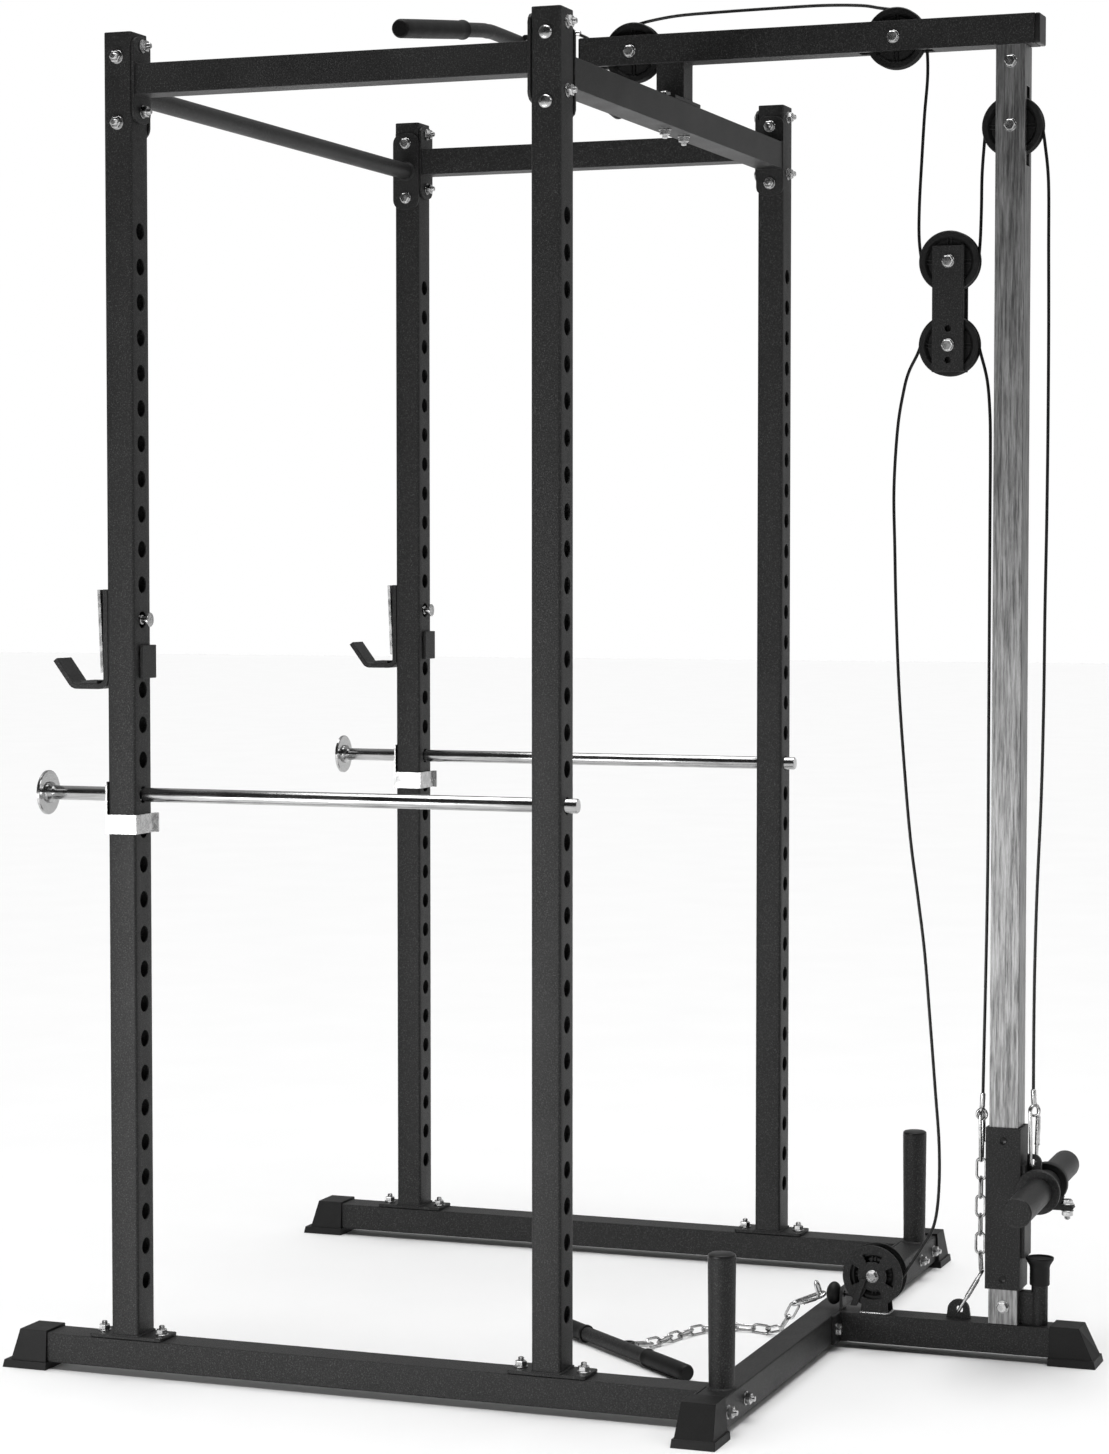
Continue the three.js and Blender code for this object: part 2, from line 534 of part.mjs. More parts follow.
{
  const { y, z, straight, half, drop } = LAT_BAR;
  const along = (share) => [straight + (half - straight) * share, y, z - drop * share];
  const mirror = ([px, py, pz]) => [-px, py, pz];
  const gripStart = 1 - GRIP_LENGTH / Math.hypot(half - straight, drop);
  const middle = strut(BAR_RADIUS, [-straight, y, z], [straight, y, z]);
  const knuckles = [-straight, straight].map((x) =>
    solid(new THREE.SphereGeometry(BAR_RADIUS, 8, 6)).translate([x, y, z]));
  const arms = [along, (share) => mirror(along(share))].map((end) =>
    strut(BAR_RADIUS, end(0), end(0.99)));
  const lugShape = new THREE.Shape();
  lugShape.moveTo(y + 8, z - 8);
  lugShape.lineTo(y + 20, z - 8);
  lugShape.absarc(y + 22, z + 2, 10, -Math.PI / 2, Math.PI / 2);
  lugShape.lineTo(y + 8, z + 10);
  const lug = extrude(lugShape, 'x', -4, 4).subtract(clearHole('x', 5, -5, 5, y + 22, z + 2, 8));
  add('lat_bar', union([middle, ...knuckles, ...arms, lug]), blackPaint);
  for (const [side, end] of [['near', along], ['far', (share) => mirror(along(share))]]) {
    const sleeve = strut(GRIP_RADIUS, end(gripStart), end(1), 14)
      .subtract(strut(BAR_RADIUS + GAP, end(gripStart - 0.02), end(0.992)));
    add(`lat_grip_${side}`, sleeve, rubber);
  }
}

const ROW_BAR = { x: 208, y: 342, z: 15.6, half: 230, turn: 50 };

{
  const { x, y, z, half, turn } = ROW_BAR;
  const grip = 130;
  const place = (body) => body.rotate([0, 0, turn]).translate([x, y, z]);
  const lugShape = new THREE.Shape();
  lugShape.moveTo(-11, 8);
  lugShape.lineTo(11, 8);
  lugShape.lineTo(11, 24);
  lugShape.absarc(0, 24, 11, 0, Math.PI);
  const lug = extrude(lugShape, 'z', -4, 4).subtract(clearHole('z', 5, -5, 5, 0, 24, 8));
  add('row_bar', place(rod('x', BAR_RADIUS, 2 - half, half - 2, 0, 0, 12).add(lug)), blackPaint);
  for (const [side, start] of [['near', half - grip], ['far', -half]]) {
    const bore = side === 'near' ? [start - 1, half - 1.7] : [1.7 - half, start + grip + 1];
    const sleeve = rod('x', GRIP_RADIUS, start, start + grip, 0, 0, 14)
      .subtract(rod('x', BAR_RADIUS + GAP, ...bore, 0, 0, 12));
    add(`row_grip_${side}`, place(sleeve), rubber);
  }
}

// ---------------------------------------------------------------- cables, chains and the ball stop

// A tube along a smooth curve through the given points, with a step at every point.
function tubeAlong(points, radius) {
  const path = new THREE.CatmullRomCurve3(points.map((place) => new THREE.Vector3(...place)));
  path.getUtoTmapping = (u) => u;
  const section = new THREE.Shape();
  section.absarc(0, 0, radius, 0, 2 * Math.PI);
  return solid(new THREE.ExtrudeGeometry(section, {
    steps: points.length - 1, extrudePath: path, bevelEnabled: false, curveSegments: 4,
  }));
}

// Points on an arc about a centre, in degrees from +Y towards +Z.
function wrap({ y, z }, radius, from, to) {
  const count = Math.ceil(Math.abs(to - from) / 24);
  return Array.from({ length: count + 1 }, (_, i) => {
    const angle = THREE.MathUtils.degToRad(from + ((to - from) * i) / count);
    return [y + radius * Math.cos(angle), z + radius * Math.sin(angle)];
  });
}

const inPlane = (points) => points.map(([y, z]) => [0, y, z]);
const LINE = 48;                 // radius of a cable's centre line round a pulley
const LOW_LINE = 41;

const CABLES = {
  // from the lat bar's end fitting, down into the boom's slot and over the front pulley
  lat_cable_front: [
    [174, 2284], [187, 2282], [199, 2278], [213, 2271.5],
    ...wrap({ y: 241, z: 2283 }, 25, 240, 300),
    ...wrap(FRONT_PULLEY, LINE, 144, 90),
  ],
  // along the boom, over the rear pulley, under the block and up to the column pulley
  lat_cable_loop: [
    [FRONT_PULLEY.y + 1, FRONT_PULLEY.z + LINE], [330, 2295], [380, 2301], [450, 2303], [547, 2304],
    [640, 2304], [708, 2300], [740, 2294],
    ...wrap(REAR_PULLEY, LINE + 1, 95, 10),
    [823, 2219], [824, 2173], [819, 2110],
    [815, 2040], [811, 1960], [811, 1900],
    ...wrap(BLOCK_UPPER_PULLEY, LINE, 190, 345),
    [916, 1890], [918, 1947], [919, 2010],
    ...wrap(COLUMN_PULLEY, LINE, 185, 92),
  ],
  // from the column pulley down to the carriage
  lat_cable_drop: [
    ...wrap(COLUMN_PULLEY, LINE, 88, 5), [1026, 2050], [1032, 1989],
    [1033, 1876], [1034, 1743], [1034, 1580], [1033, 1423], [1031, 1270], [1030, 1118], [1027, 961],
    [1021, 803], [1018, 680], [1017, 574], [1017, 460],
  ],
  // from the anchor chain, over the block's lower pulley and round the low pulley
  low_cable: [
    [930, 447], [931, 508], [933, 620], [935, 753], [936, 874], [936, 1000], [936, 1116], [936, 1250],
    [936, 1390], [938, 1460], [941, 1530], [940, 1600], [934, 1670],
    ...wrap(BLOCK_LOWER_PULLEY, LINE, 20, 165),
    [800, 1700], [785, 1650], [775, 1583], [769, 1480], [771, 1379], [774, 1265], [780, 1133], [790, 1000],
    [801, 882], [815, 780], [827, 687], [838, 560], [847, 450], [854, 360], [854, 280], [846, 220],
    [825, 180], [801, 142],
    ...wrap(LOW_PULLEY, LOW_LINE, -32, -94),
  ],
  // from the low pulley through the flange's ear to the ball stop
  low_cable_lead: [
    [LOW_PULLEY.y - 4, LOW_PULLEY.z - LOW_LINE + 0.1], [712, 87.3], [683.5, CABLE_EAR_Z],
  ],
};

for (const [name, route] of Object.entries(CABLES)) {
  add(name, tubeAlong(inPlane(route), CABLE_RADIUS), nylon);
}

// The stop is a ball flattened along the cable.
const BALL_STOP = { y: 669.2, radius: 19.8, halfLength: 12.8 };
add('ball_stop', solid(new THREE.SphereGeometry(1, 16, 10))
  .scale([BALL_STOP.radius, BALL_STOP.halfLength, BALL_STOP.radius])
  .translate([0, BALL_STOP.y, CABLE_EAR_Z]), rubber);

// The chains with their snap hooks, as plain runs. The anchor chain hangs in front of the column.
const ANCHOR_CHAIN = [
  [915, 90], [919, 106], [923, 124], [927, 145], [927, 210], [927, 280], [928, 350], [929, 412], [930, 445],
];
add('anchor_chain', tubeAlong(inPlane(ANCHOR_CHAIN), 6), zinc);

const ROW_CHAIN = [
  [0, 650, 88], [0, 630, 80], [2, 610, 72], [0, 592, 50], [-10, 576, 22], [-22, 552, 8.5], [-34, 522, 7.5],
  [-36, 488, 7.5], [-22, 454, 7.5], [12, 426, 7.5], [60, 408, 7.5], [110, 394, 8], [150, 380, 11],
  [180, 366, 14],
];
add('row_chain', tubeAlong(ROW_CHAIN, 6), zinc);

// ---------------------------------------------------------------- origin

const FOOTPRINT_MIDDLE = (FRONT_END - FOOT_LENGTH + TAIL_END + FOOT_LENGTH) / 2;
root.position.y = -FOOTPRINT_MIDDLE;

export default root;
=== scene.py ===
"""The looks of a power cage with a lat pulldown and low row tower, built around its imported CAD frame.

Places are written in "cage millimetres": X across the cage, +Y towards the tower, Z up from the floor,
with Y = 0 halfway between the front and rear uprights. `Shape` turns them into the model's metres.
"""

import math

import bpy
from mathutils import Matrix, Vector


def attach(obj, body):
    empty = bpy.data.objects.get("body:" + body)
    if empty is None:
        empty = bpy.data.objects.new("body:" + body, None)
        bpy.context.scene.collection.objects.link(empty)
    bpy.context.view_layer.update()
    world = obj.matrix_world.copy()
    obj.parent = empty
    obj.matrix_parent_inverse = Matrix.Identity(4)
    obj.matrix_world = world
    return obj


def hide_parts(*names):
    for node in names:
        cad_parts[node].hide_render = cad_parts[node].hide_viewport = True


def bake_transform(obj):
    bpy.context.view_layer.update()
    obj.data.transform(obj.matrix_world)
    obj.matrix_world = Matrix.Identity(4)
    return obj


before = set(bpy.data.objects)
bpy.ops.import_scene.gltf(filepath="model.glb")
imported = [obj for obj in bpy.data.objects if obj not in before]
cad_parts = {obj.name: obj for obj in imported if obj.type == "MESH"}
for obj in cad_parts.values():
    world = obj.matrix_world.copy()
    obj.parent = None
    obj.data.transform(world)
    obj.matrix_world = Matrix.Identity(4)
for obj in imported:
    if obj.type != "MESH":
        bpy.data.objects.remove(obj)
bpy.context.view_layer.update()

# ---------------- dimensions, in cage millimetres

SHIFT_Y = -266.5                 # from the cage's middle to the model's origin
TUBE = 50.0
HALF = TUBE / 2
WALL = 2.5
POST_HALF = 30.0                 # half the uprights' width along X
POST_X = 610.0
POST_Y = 374.0
BASE_TOP = 62.0
BASE_MIDDLE = 37.0
REAR_BASE_Y = 657.0
PLATE = 5.8                      # an end plate and the gap behind it
UPRIGHT_BOTTOM = BASE_TOP + PLATE
UPRIGHT_TOP = 2221.0
HOLE_RADIUS = 14.0
HOLE_PITCH = 58.0
HOLE_COUNT = 31
TOP_HOLE_Z = 1898.0
HOOK_PIN_Z = TOP_HOLE_Z - 11 * HOLE_PITCH
SAFETY_Z = TOP_HOLE_Z - 16 * HOLE_PITCH
SIDE_BEAM_Z = 2144.0
CROSS_BEAM_Z = 2125.0
BOOM_MIDDLE = 2243.0
BOOM_FRONT = 208.0
BOOM_REAR = 1012.0
COLUMN_Y = 972.0
PEG_Y, PEG_Z, PEG_RADIUS, PEG_HALF = 1033.0, 296.0, 24.5, 240.0
PEG_TURN = math.radians(2.3)     # the peg is not quite square to the column
BUMPER_Y = 1030.0
LOW_PULLEY_Y, LOW_PULLEY_Z = 742.0, 126.5
CABLE_EAR_Z = 89.0

PULLEYS = {                      # node and body: the (y, z) of its middle
    "front_pulley": (300, 2241),
    "rear_pulley": (770, 2241),
    "column_pulley": (COLUMN_Y, 2084),
    "block_upper_pulley": (865, 1862),
    "block_lower_pulley": (865, 1721),
    "low_pulley": (LOW_PULLEY_Y, LOW_PULLEY_Z),
}
PULLEY_SIZE = (52.0, 43.6)       # radius of the rim, and of the bottom of the groove
LOW_PULLEY_SIZE = (45.0, 37.0)

CORNERS = {                      # the (x, y) of each upright's middle
    "front_near": (POST_X, -POST_Y), "rear_near": (POST_X, POST_Y),
    "front_far": (-POST_X, -POST_Y), "rear_far": (-POST_X, POST_Y),
}
SIDES = ((1, "near"), (-1, "far"))
SQUARE = ((-1, -1), (1, -1), (1, 1), (-1, 1))


def new_object(name, data):
    thing = bpy.data.objects.new(name, data)
    bpy.context.collection.objects.link(thing)
    return thing


# ---------------- camera

def aim(thing, place, target):
    """Puts a camera or a light at a place, facing a target, both in metres."""
    thing.location = place
    thing.rotation_euler = (Vector(target) - Vector(place)).to_track_quat("-Z", "Y").to_euler()


CAMERA_PLACE = Vector((5.6217, 1.9665, 1.3526))
CAMERA_AZIMUTH = math.radians(110.315)
CAMERA_ELEVATION = math.radians(2.765)

camera_data = bpy.data.cameras.new("camera")
camera_data.lens = 83.75
camera_data.sensor_width = 36.0
camera = new_object("camera", camera_data)
towards_camera = Vector((
    math.sin(CAMERA_AZIMUTH) * math.cos(CAMERA_ELEVATION),
    -math.cos(CAMERA_AZIMUTH) * math.cos(CAMERA_ELEVATION),
    math.sin(CAMERA_ELEVATION),
))
aim(camera, CAMERA_PLACE, CAMERA_PLACE - towards_camera)
bpy.context.scene.camera = camera


# ---------------- materials

class Nodes:
    """A new node material with short ways to add and link nodes."""

    def __init__(self, name, metallic, specular=0.5):
        self.material = bpy.data.materials.new(name)
        self.material.use_nodes = True
        self.tree = self.material.node_tree
        self.shader = self.tree.nodes["Principled BSDF"]
        self.shader.inputs["Metallic"].default_value = metallic
        self.shader.inputs["Specular IOR Level"].default_value = specular
        self.coordinates = self.tree.nodes.new("ShaderNodeTexCoord").outputs["Object"]

    def link(self, source, target):
        self.tree.links.new(source, target)

    def stretched(self, scale):
        """Object coordinates scaled by different amounts along X, Y and Z."""
        mapping = self.tree.nodes.new("ShaderNodeMapping")
        mapping.inputs["Scale"].default_value = scale
        self.link(self.coordinates, mapping.inputs["Vector"])
        return mapping.outputs["Vector"]

    def noise(self, scale, detail=3.0, roughness=0.5, vector=None):
        node = self.tree.nodes.new("ShaderNodeTexNoise")
        node.inputs["Scale"].default_value = scale
        node.inputs["Detail"].default_value = detail
        node.inputs["Roughness"].default_value = roughness
        self.link(vector or self.coordinates, node.inputs["Vector"])
        return node.outputs["Fac"]

    def ramp(self, source, stops):
        """Greys at places between 0 and 1."""
        node = self.tree.nodes.new("ShaderNodeValToRGB")
        elements = node.color_ramp.elements
        while len(elements) < len(stops):
            elements.new(0.5)
        for element, (place, grey) in zip(elements, stops):
            element.position = place
            element.color = (grey, grey, grey, 1.0)
        self.link(source, node.inputs["Fac"])
        return node.outputs["Color"]

    def colour(self, first, second=None):
        """Gives the surface one colour, or two multiplied together."""
        if second is not None:
            node = self.tree.nodes.new("ShaderNodeMix")
            node.data_type = "RGBA"
            node.blend_type = "MULTIPLY"
            node.inputs["Factor"].default_value = 1.0
            self.link(first, node.inputs["A"])
            self.link(second, node.inputs["B"])
            first = node.outputs["Result"]
        self.link(first, self.shader.inputs["Base Color"])

    def roughness(self, source):
        self.link(source, self.shader.inputs["Roughness"])

    def bump(self, source, distance, strength=1.0):
        node = self.tree.nodes.new("ShaderNodeBump")
        node.inputs["Distance"].default_value = distance
        node.inputs["Strength"].default_value = strength
        self.link(source, node.inputs["Height"])
        self.link(node.outputs["Normal"], self.shader.inputs["Normal"])


def powder_coat():
    """Fine-textured black powder coat, with a faint light speckle."""
    n = Nodes("powder_coat", metallic=0.0, specular=0.3)
    grain = n.noise(430.0, detail=5.0, roughness=0.8)
    patches = n.noise(9.0, detail=3.0)
    speckle = n.ramp(grain, [(0.38, 0.004), (0.54, 0.014), (0.70, 0.10)])
    shade = n.ramp(patches, [(0.3, 0.75), (0.7, 1.0)])
    n.colour(speckle, shade)
    n.roughness(n.ramp(patches, [(0.3, 0.44), (0.7, 0.54)]))
    n.bump(grain, 0.0007, 0.8)
    return n.material


def zinc_plate():
    n = Nodes("zinc_plate", metallic=1.0)
    patches = n.noise(60.0, detail=4.0)
    n.colour(n.ramp(patches, [(0.3, 0.34), (0.7, 0.66)]))
    n.roughness(n.ramp(patches, [(0.3, 0.18), (0.75, 0.36)]))
    n.bump(n.noise(700.0), 0.0001, 0.4)
    return n.material


def drawn_steel():
    """Bright plated bar with fine marks drawn along its length, which runs along Y."""
    n = Nodes("drawn_steel", metallic=1.0)
    streaks = n.noise(900.0, detail=4.0, vector=n.stretched((1.0, 0.02, 1.0)))
    patches = n.noise(14.0, detail=4.0)
    grey = n.ramp(streaks, [(0.3, 0.32), (0.7, 0.66)])
    n.colour(grey, n.ramp(patches, [(0.3, 0.8), (0.6, 1.0)]))
    n.roughness(n.ramp(patches, [(0.3, 0.14), (0.75, 0.28)]))
    n.bump(streaks, 0.00008, 0.4)
    return n.material


def galvanised():
    """Dull zinc, with fine streaks that run down the column."""
    n = Nodes("galvanised_steel", metallic=1.0)
    streaks = n.noise(260.0, detail=5.0, roughness=0.7, vector=n.stretched((1.0, 1.0, 0.05)))
    clouds = n.noise(26.0, detail=5.0, roughness=0.7, vector=n.stretched((1.6, 1.6, 0.5)))
    grey = n.ramp(streaks, [(0.38, 0.13), (0.62, 0.40)])
    n.colour(grey, n.ramp(clouds, [(0.3, 0.72), (0.7, 1.0)]))
    n.roughness(n.ramp(clouds, [(0.2, 0.34), (0.8, 0.50)]))
    n.bump(n.noise(320.0, detail=4.0), 0.0002, 0.4)
    return n.material


def moulded(name, dark, light, rough, grain_scale, depth):
    """Black moulded rubber or plastic with a fine grain and soft wear marks."""
    n = Nodes(name, metallic=0.0, specular=0.25)
    grain = n.noise(grain_scale, detail=4.0, roughness=0.6)
    wear = n.noise(22.0, detail=5.0, roughness=0.65)
    grey = n.ramp(grain, [(0.3, dark), (0.75, light)])
    n.colour(grey, n.ramp(wear, [(0.35, 0.7), (0.7, 1.0)]))
    n.roughness(n.ramp(wear, [(0.3, rough - 0.06), (0.7, rough + 0.06)]))
    n.bump(grain, depth, 0.5)
    return n.material


COAT = powder_coat()
ZINC = zinc_plate()
STEEL = drawn_steel()
GALVANISED = galvanised()
RUBBER = moulded("rubber", 0.003, 0.009, 0.55, 480.0, 0.0004)
NYLON = moulded("nylon", 0.008, 0.018, 0.36, 260.0, 0.0002)
SHEATH = moulded("cable_sheath", 0.006, 0.014, 0.30, 300.0, 0.0001)
PAD = moulded("cradle_pad", 0.030, 0.070, 0.70, 300.0, 0.0003)


# ---------------- shapes

TO_METRES = Matrix.Scale(0.001, 4) @ Matrix.Translation((0.0, SHIFT_Y, 0.0))
AXES = {"x": Vector((1, 0, 0)), "y": Vector((0, 1, 0)), "z": Vector((0, 0, 1))}


def basis(direction):
    """Two unit vectors square to a direction and to each other."""
    direction = direction.normalized()
    helper = AXES["z"] if abs(direction.z) < 0.9 else AXES["x"]
    side = helper.cross(direction).normalized()
    return side, direction.cross(side)


def circle(centre, across, up, radius, sides):
    """Points round a centre, in the plane of two unit vectors."""
    angles = [2 * math.pi * i / sides for i in range(sides)]
    return [centre + (across * math.cos(a) + up * math.sin(a)) * radius for a in angles]


def finish_surface(mesh, material, sharp=35.0):
    """Gives a mesh its one material, smooth but for edges sharper than an angle in degrees."""
    mesh.materials.clear()
    mesh.materials.append(material)
    mesh.polygons.foreach_set("use_smooth", [True] * len(mesh.polygons))
    mesh.set_sharp_from_angle(angle=math.radians(sharp))


class Shape:
    """Vertices and faces in cage millimetres, joined up from simpler forms."""

    def __init__(self):
        self.verts = []
        self.faces = []

    def add(self, verts, faces):
        base = len(self.verts)
        self.verts += [Vector(v) for v in verts]
        self.faces += [[base + i for i in face] for face in faces]
        return self

    def join(self, other, matrix=Matrix()):
        return self.add([matrix @ v for v in other.verts], other.faces)

    def loft(self, rings, closed=False):
        """Skins a row of rings that have the same number of points. Open rows get flat end caps."""
        count = len(rings[0])
        verts = [v for ring in rings for v in ring]
        faces = []
        spans = len(rings) if closed else len(rings) - 1
        for k in range(spans):
            a, b = k * count, ((k + 1) % len(rings)) * count
            for i in range(count):
                j = (i + 1) % count
                faces.append([a + i, a + j, b + j, b + i])
        if not closed:
            faces.append(list(reversed(range(count))))
            faces.append([(len(rings) - 1) * count + i for i in range(count)])
        return self.add(verts, faces)

    def lathe(self, centre, axis, profile, sides=40, closed=False):
        """Turns (radius, distance along the axis) points about an axis through the centre."""
        axis = AXES[axis] if isinstance(axis, str) else axis
        u, v = basis(axis)
        rings = []
        for radius, along in profile:
            rings.append(circle(Vector(centre) + axis * along, u, v, max(radius, 0.01), sides))
        return self.loft(rings, closed)

    def sweep(self, path, radius, sides=12, closed=False):
        """A round bar along a path. The radius is one number, or one for each point."""
        points = [Vector(p) for p in path]
        radii = radius if isinstance(radius, list) else [radius] * len(points)
        count = len(points)
        rings = []
        u = None
        for k, point in enumerate(points):
            before = points[k - 1] if k or closed else points[k]
            after = points[(k + 1) % count] if k + 1 < count or closed else points[k]
            direction = (after - before).normalized()
            u = basis(direction)[0] if u is None else (u - direction * u.dot(direction)).normalized()
            rings.append(circle(point, u, direction.cross(u), radii[k], sides))
        return self.loft(rings, closed)

    def prism(self, outline, axis, start, end):
        """Pushes a flat outline along an axis. Its numbers are the other two axes, in X, Y, Z order."""
        index = "xyz".index(axis)
        ring = list(outline)
        area = sum(a[0] * b[1] - b[0] * a[1] for a, b in zip(ring, ring[1:] + ring[:1]))
        if (area < 0) != (axis == "y"):
            ring.reverse()
        return self.loft([[(*p[:index], along, *p[index:]) for p in ring] for along in (start, end)])

    def box(self, x0, x1, y0, y1, z0, z1):
        return self.prism([(x0, y0), (x1, y0), (x1, y1), (x0, y1)], "z", z0, z1)

    def plain_object(self, name):
        mesh = bpy.data.meshes.new(name)
        mesh.from_pydata([TO_METRES @ v for v in self.verts], [], self.faces)
        return new_object(name, mesh)

    def piece(self, name, material, body, replaces=(), bevel=0.0, sharp=35.0):
        """Makes a finished piece that rides on a body. Its edges may be rounded, in millimetres."""
        thing = self.plain_object(name)
        finish_surface(thing.data, material, sharp)
        if bevel:
            round_edges(thing, bevel)
        if replaces:
            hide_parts(*replaces)
        if body:
            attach(thing, body)
        return thing


def round_edges(thing, width, weld=False):
    """Rounds an object's sharp edges by a width in millimetres."""
    if weld:
        thing.modifiers.new("weld", "WELD").merge_threshold = 0.00002
    bevel = thing.modifiers.new("round", "BEVEL")
    bevel.width = width * 0.001
    bevel.segments = 3
    bevel.limit_method = "ANGLE"
    bevel.angle_limit = math.radians(35)
    bevel.use_clamp_overlap = True
    bevel.harden_normals = True


def turned(name, material, body, centre, axis, profile, replaces=(), sides=48):
    """Makes one finished piece of a profile turned about an axis."""
    Shape().lathe(centre, axis, profile, sides).piece(name, material, body, replaces)


def arc(cx, cy, radius, start, end, count=8):
    """Points of a flat arc, in degrees."""
    angles = [math.radians(start + (end - start) * i / count) for i in range(count + 1)]
    return [(cx + radius * math.cos(a), cy + radius * math.sin(a)) for a in angles]


def rounded_rectangle(cx, cy, half_width, half_height, radius, count=4):
    """The outline of a rectangle with round corners about a centre."""
    outline = []
    for k, (a, b) in enumerate(((1, 1), (-1, 1), (-1, -1), (1, -1))):
        x = cx + a * (half_width - radius)
        y = cy + b * (half_height - radius)
        outline += arc(x, y, radius, 90 * k, 90 * k + 90, count)
    return outline


def smooth_path(points, steps=6):
    """A Catmull-Rom curve through the points."""
    points = [Vector(p) for p in points]
    ends = [points[0] * 2 - points[1]] + points + [points[-1] * 2 - points[-2]]
    path = []
    for a, b, c, d in zip(ends, ends[1:], ends[2:], ends[3:]):
        for i in range(steps):
            t = i / steps
            square = (2 * a - 5 * b + 4 * c - d) * t ** 2
            cube = (3 * b - a - 3 * c + d) * t ** 3
            path.append(0.5 * (2 * b + (c - a) * t + square + cube))
    return path + [points[-1]]


# ---------------- cables

def wrap(name, radius, start, end):
    """Points round a pulley, in degrees from +Y towards +Z."""
    return arc(*PULLEYS[name], radius, start, end, math.ceil(abs(end - start) / 24))


CABLE_RADIUS = 2.75
LINE = 48.0                      # radius of a cable's centre line round a pulley
LOW_LINE = 41.0

ROUTES = {                       # (y, z) along each run, all at X = 0
    "lat_cable_front": [
        (174, 2284), (187, 2282), (199, 2278), (213, 2271.5), *arc(239, 2284, 25, 240, 295, 2),
        *wrap("front_pulley", LINE, 144, 90)],
    "lat_cable_loop": [
        (301, 2241 + LINE), (330, 2295), (380, 2301), (450, 2303), (547, 2304),
        (640, 2304), (708, 2300), (740, 2294),
        *wrap("rear_pulley", LINE + 1, 95, 10),
        (823, 2219), (824, 2173), (819, 2110),
        (815, 2040), (811, 1960), (811, 1900),
        *wrap("block_upper_pulley", LINE, 190, 345),
        (916, 1890), (918, 1947), (919, 2010),
        *wrap("column_pulley", LINE, 185, 92)],
    "lat_cable_drop": [
        *wrap("column_pulley", LINE, 88, 5), (1026, 2050), (1032, 1989),
        (1033, 1876), (1034, 1743), (1034, 1580), (1033, 1423), (1031, 1270), (1030, 1118), (1027, 961),
        (1021, 803), (1018, 680), (1017, 574), (1017, 460)],
    "low_cable": [
        (930, 447), (931, 508), (933, 620), (935, 753), (936, 874), (936, 1000), (936, 1116), (936, 1250),
        (936, 1390), (936, 1460), (936, 1530), (935, 1600), (930, 1660), (918, 1708),
        *wrap("block_lower_pulley", LINE, 20, 165),
        (809, 1708), (794, 1678), (785, 1645), (775, 1583), (769, 1480), (771, 1379), (774, 1265),
        (780, 1133), (790, 1000), (801, 882), (815, 780), (827, 687), (838, 560), (847, 450),
        (854, 360), (854, 280), (846, 220), (825, 180), (801, 142), *wrap("low_pulley", LOW_LINE, -32, -94)],
    "low_cable_lead": [(LOW_PULLEY_Y - 4, LOW_PULLEY_Z - LOW_LINE + 0.1), (712, 87.3), (683.5, CABLE_EAR_Z)],
}


def build_cable(name):
    """A cable run as a round sheath swept along its route, fixed in place."""
    path = smooth_path([(0.0, y, z) for y, z in ROUTES[name]])
    cable = Shape().sweep(path, CABLE_RADIUS, sides=12).piece(name + "_sheath", SHEATH, None, [name])
    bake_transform(cable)


for cable_name in ROUTES:
    build_cable(cable_name)


# ---------------- CAD nodes that keep their shape

KEPT = (                         # material, rounding in millimetres, nodes
    (COAT, 3.0, ("side_base_near", "side_base_far", "rear_base")),
    (COAT, 2.0, ("side_beam_near", "side_beam_far", "rear_cross_beam")),
    (COAT, 1.5, ("carriage",)),
    (COAT, 1.2, ("tail_base", "boom")),
    (COAT, 1.0, ("bumper_post",)),
    (COAT, 0.8, ("block_plate_near", "block_plate_far")),
    (GALVANISED, 1.2, ("lat_column",)),
    (ZINC, 0.8, ("safety_lock_near", "safety_lock_far")),
    (RUBBER, 2.5, ("foot_front_near", "foot_front_far", "foot_rear_near", "foot_rear_far", "foot_tail")),
)

for material, rounding, names in KEPT:
    for name in names:
        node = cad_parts[name]
        node.data.materials.clear()
        node.data.materials.append(material)
        round_edges(node, rounding, weld=True)


# ---------------- fasteners

WASHER_RADIUS = 11.0
WASHER_THICKNESS = 1.8
HEX_RADIUS = 9.8
THREAD_RADIUS = 5.0


def washer(shape, place, axis):
    rim = WASHER_RADIUS - 0.4
    profile = [(rim, 0), (WASHER_RADIUS, 0.4), (WASHER_RADIUS, 1.4), (rim, WASHER_THICKNESS)]
    shape.lathe(place, axis, profile, sides=28)


def bolt_head(shape, place, axis):
    """A washer and a hexagon head, with a domed top, on a face."""
    start = WASHER_THICKNESS
    washer(shape, place, axis)
    hexagon = [(HEX_RADIUS, start), (HEX_RADIUS, start + 5.0), (HEX_RADIUS - 1.6, start + 6.2)]
    shape.lathe(place, axis, hexagon, sides=6)
    top = [(HEX_RADIUS * 0.78, start + 6.0), (HEX_RADIUS * 0.74, start + 6.7)]
    shape.lathe(place, axis, top, sides=24)


def round_head(shape, place, axis):
    """A wide domed head on a face."""
    radius = WASHER_RADIUS + 0.5
    dome = [(radius, 0), (radius, 2.2), (radius - 1.6, 4.6), (radius - 5.0, 6.0), (0, 6.4)]
    shape.lathe(place, axis, dome, sides=32)


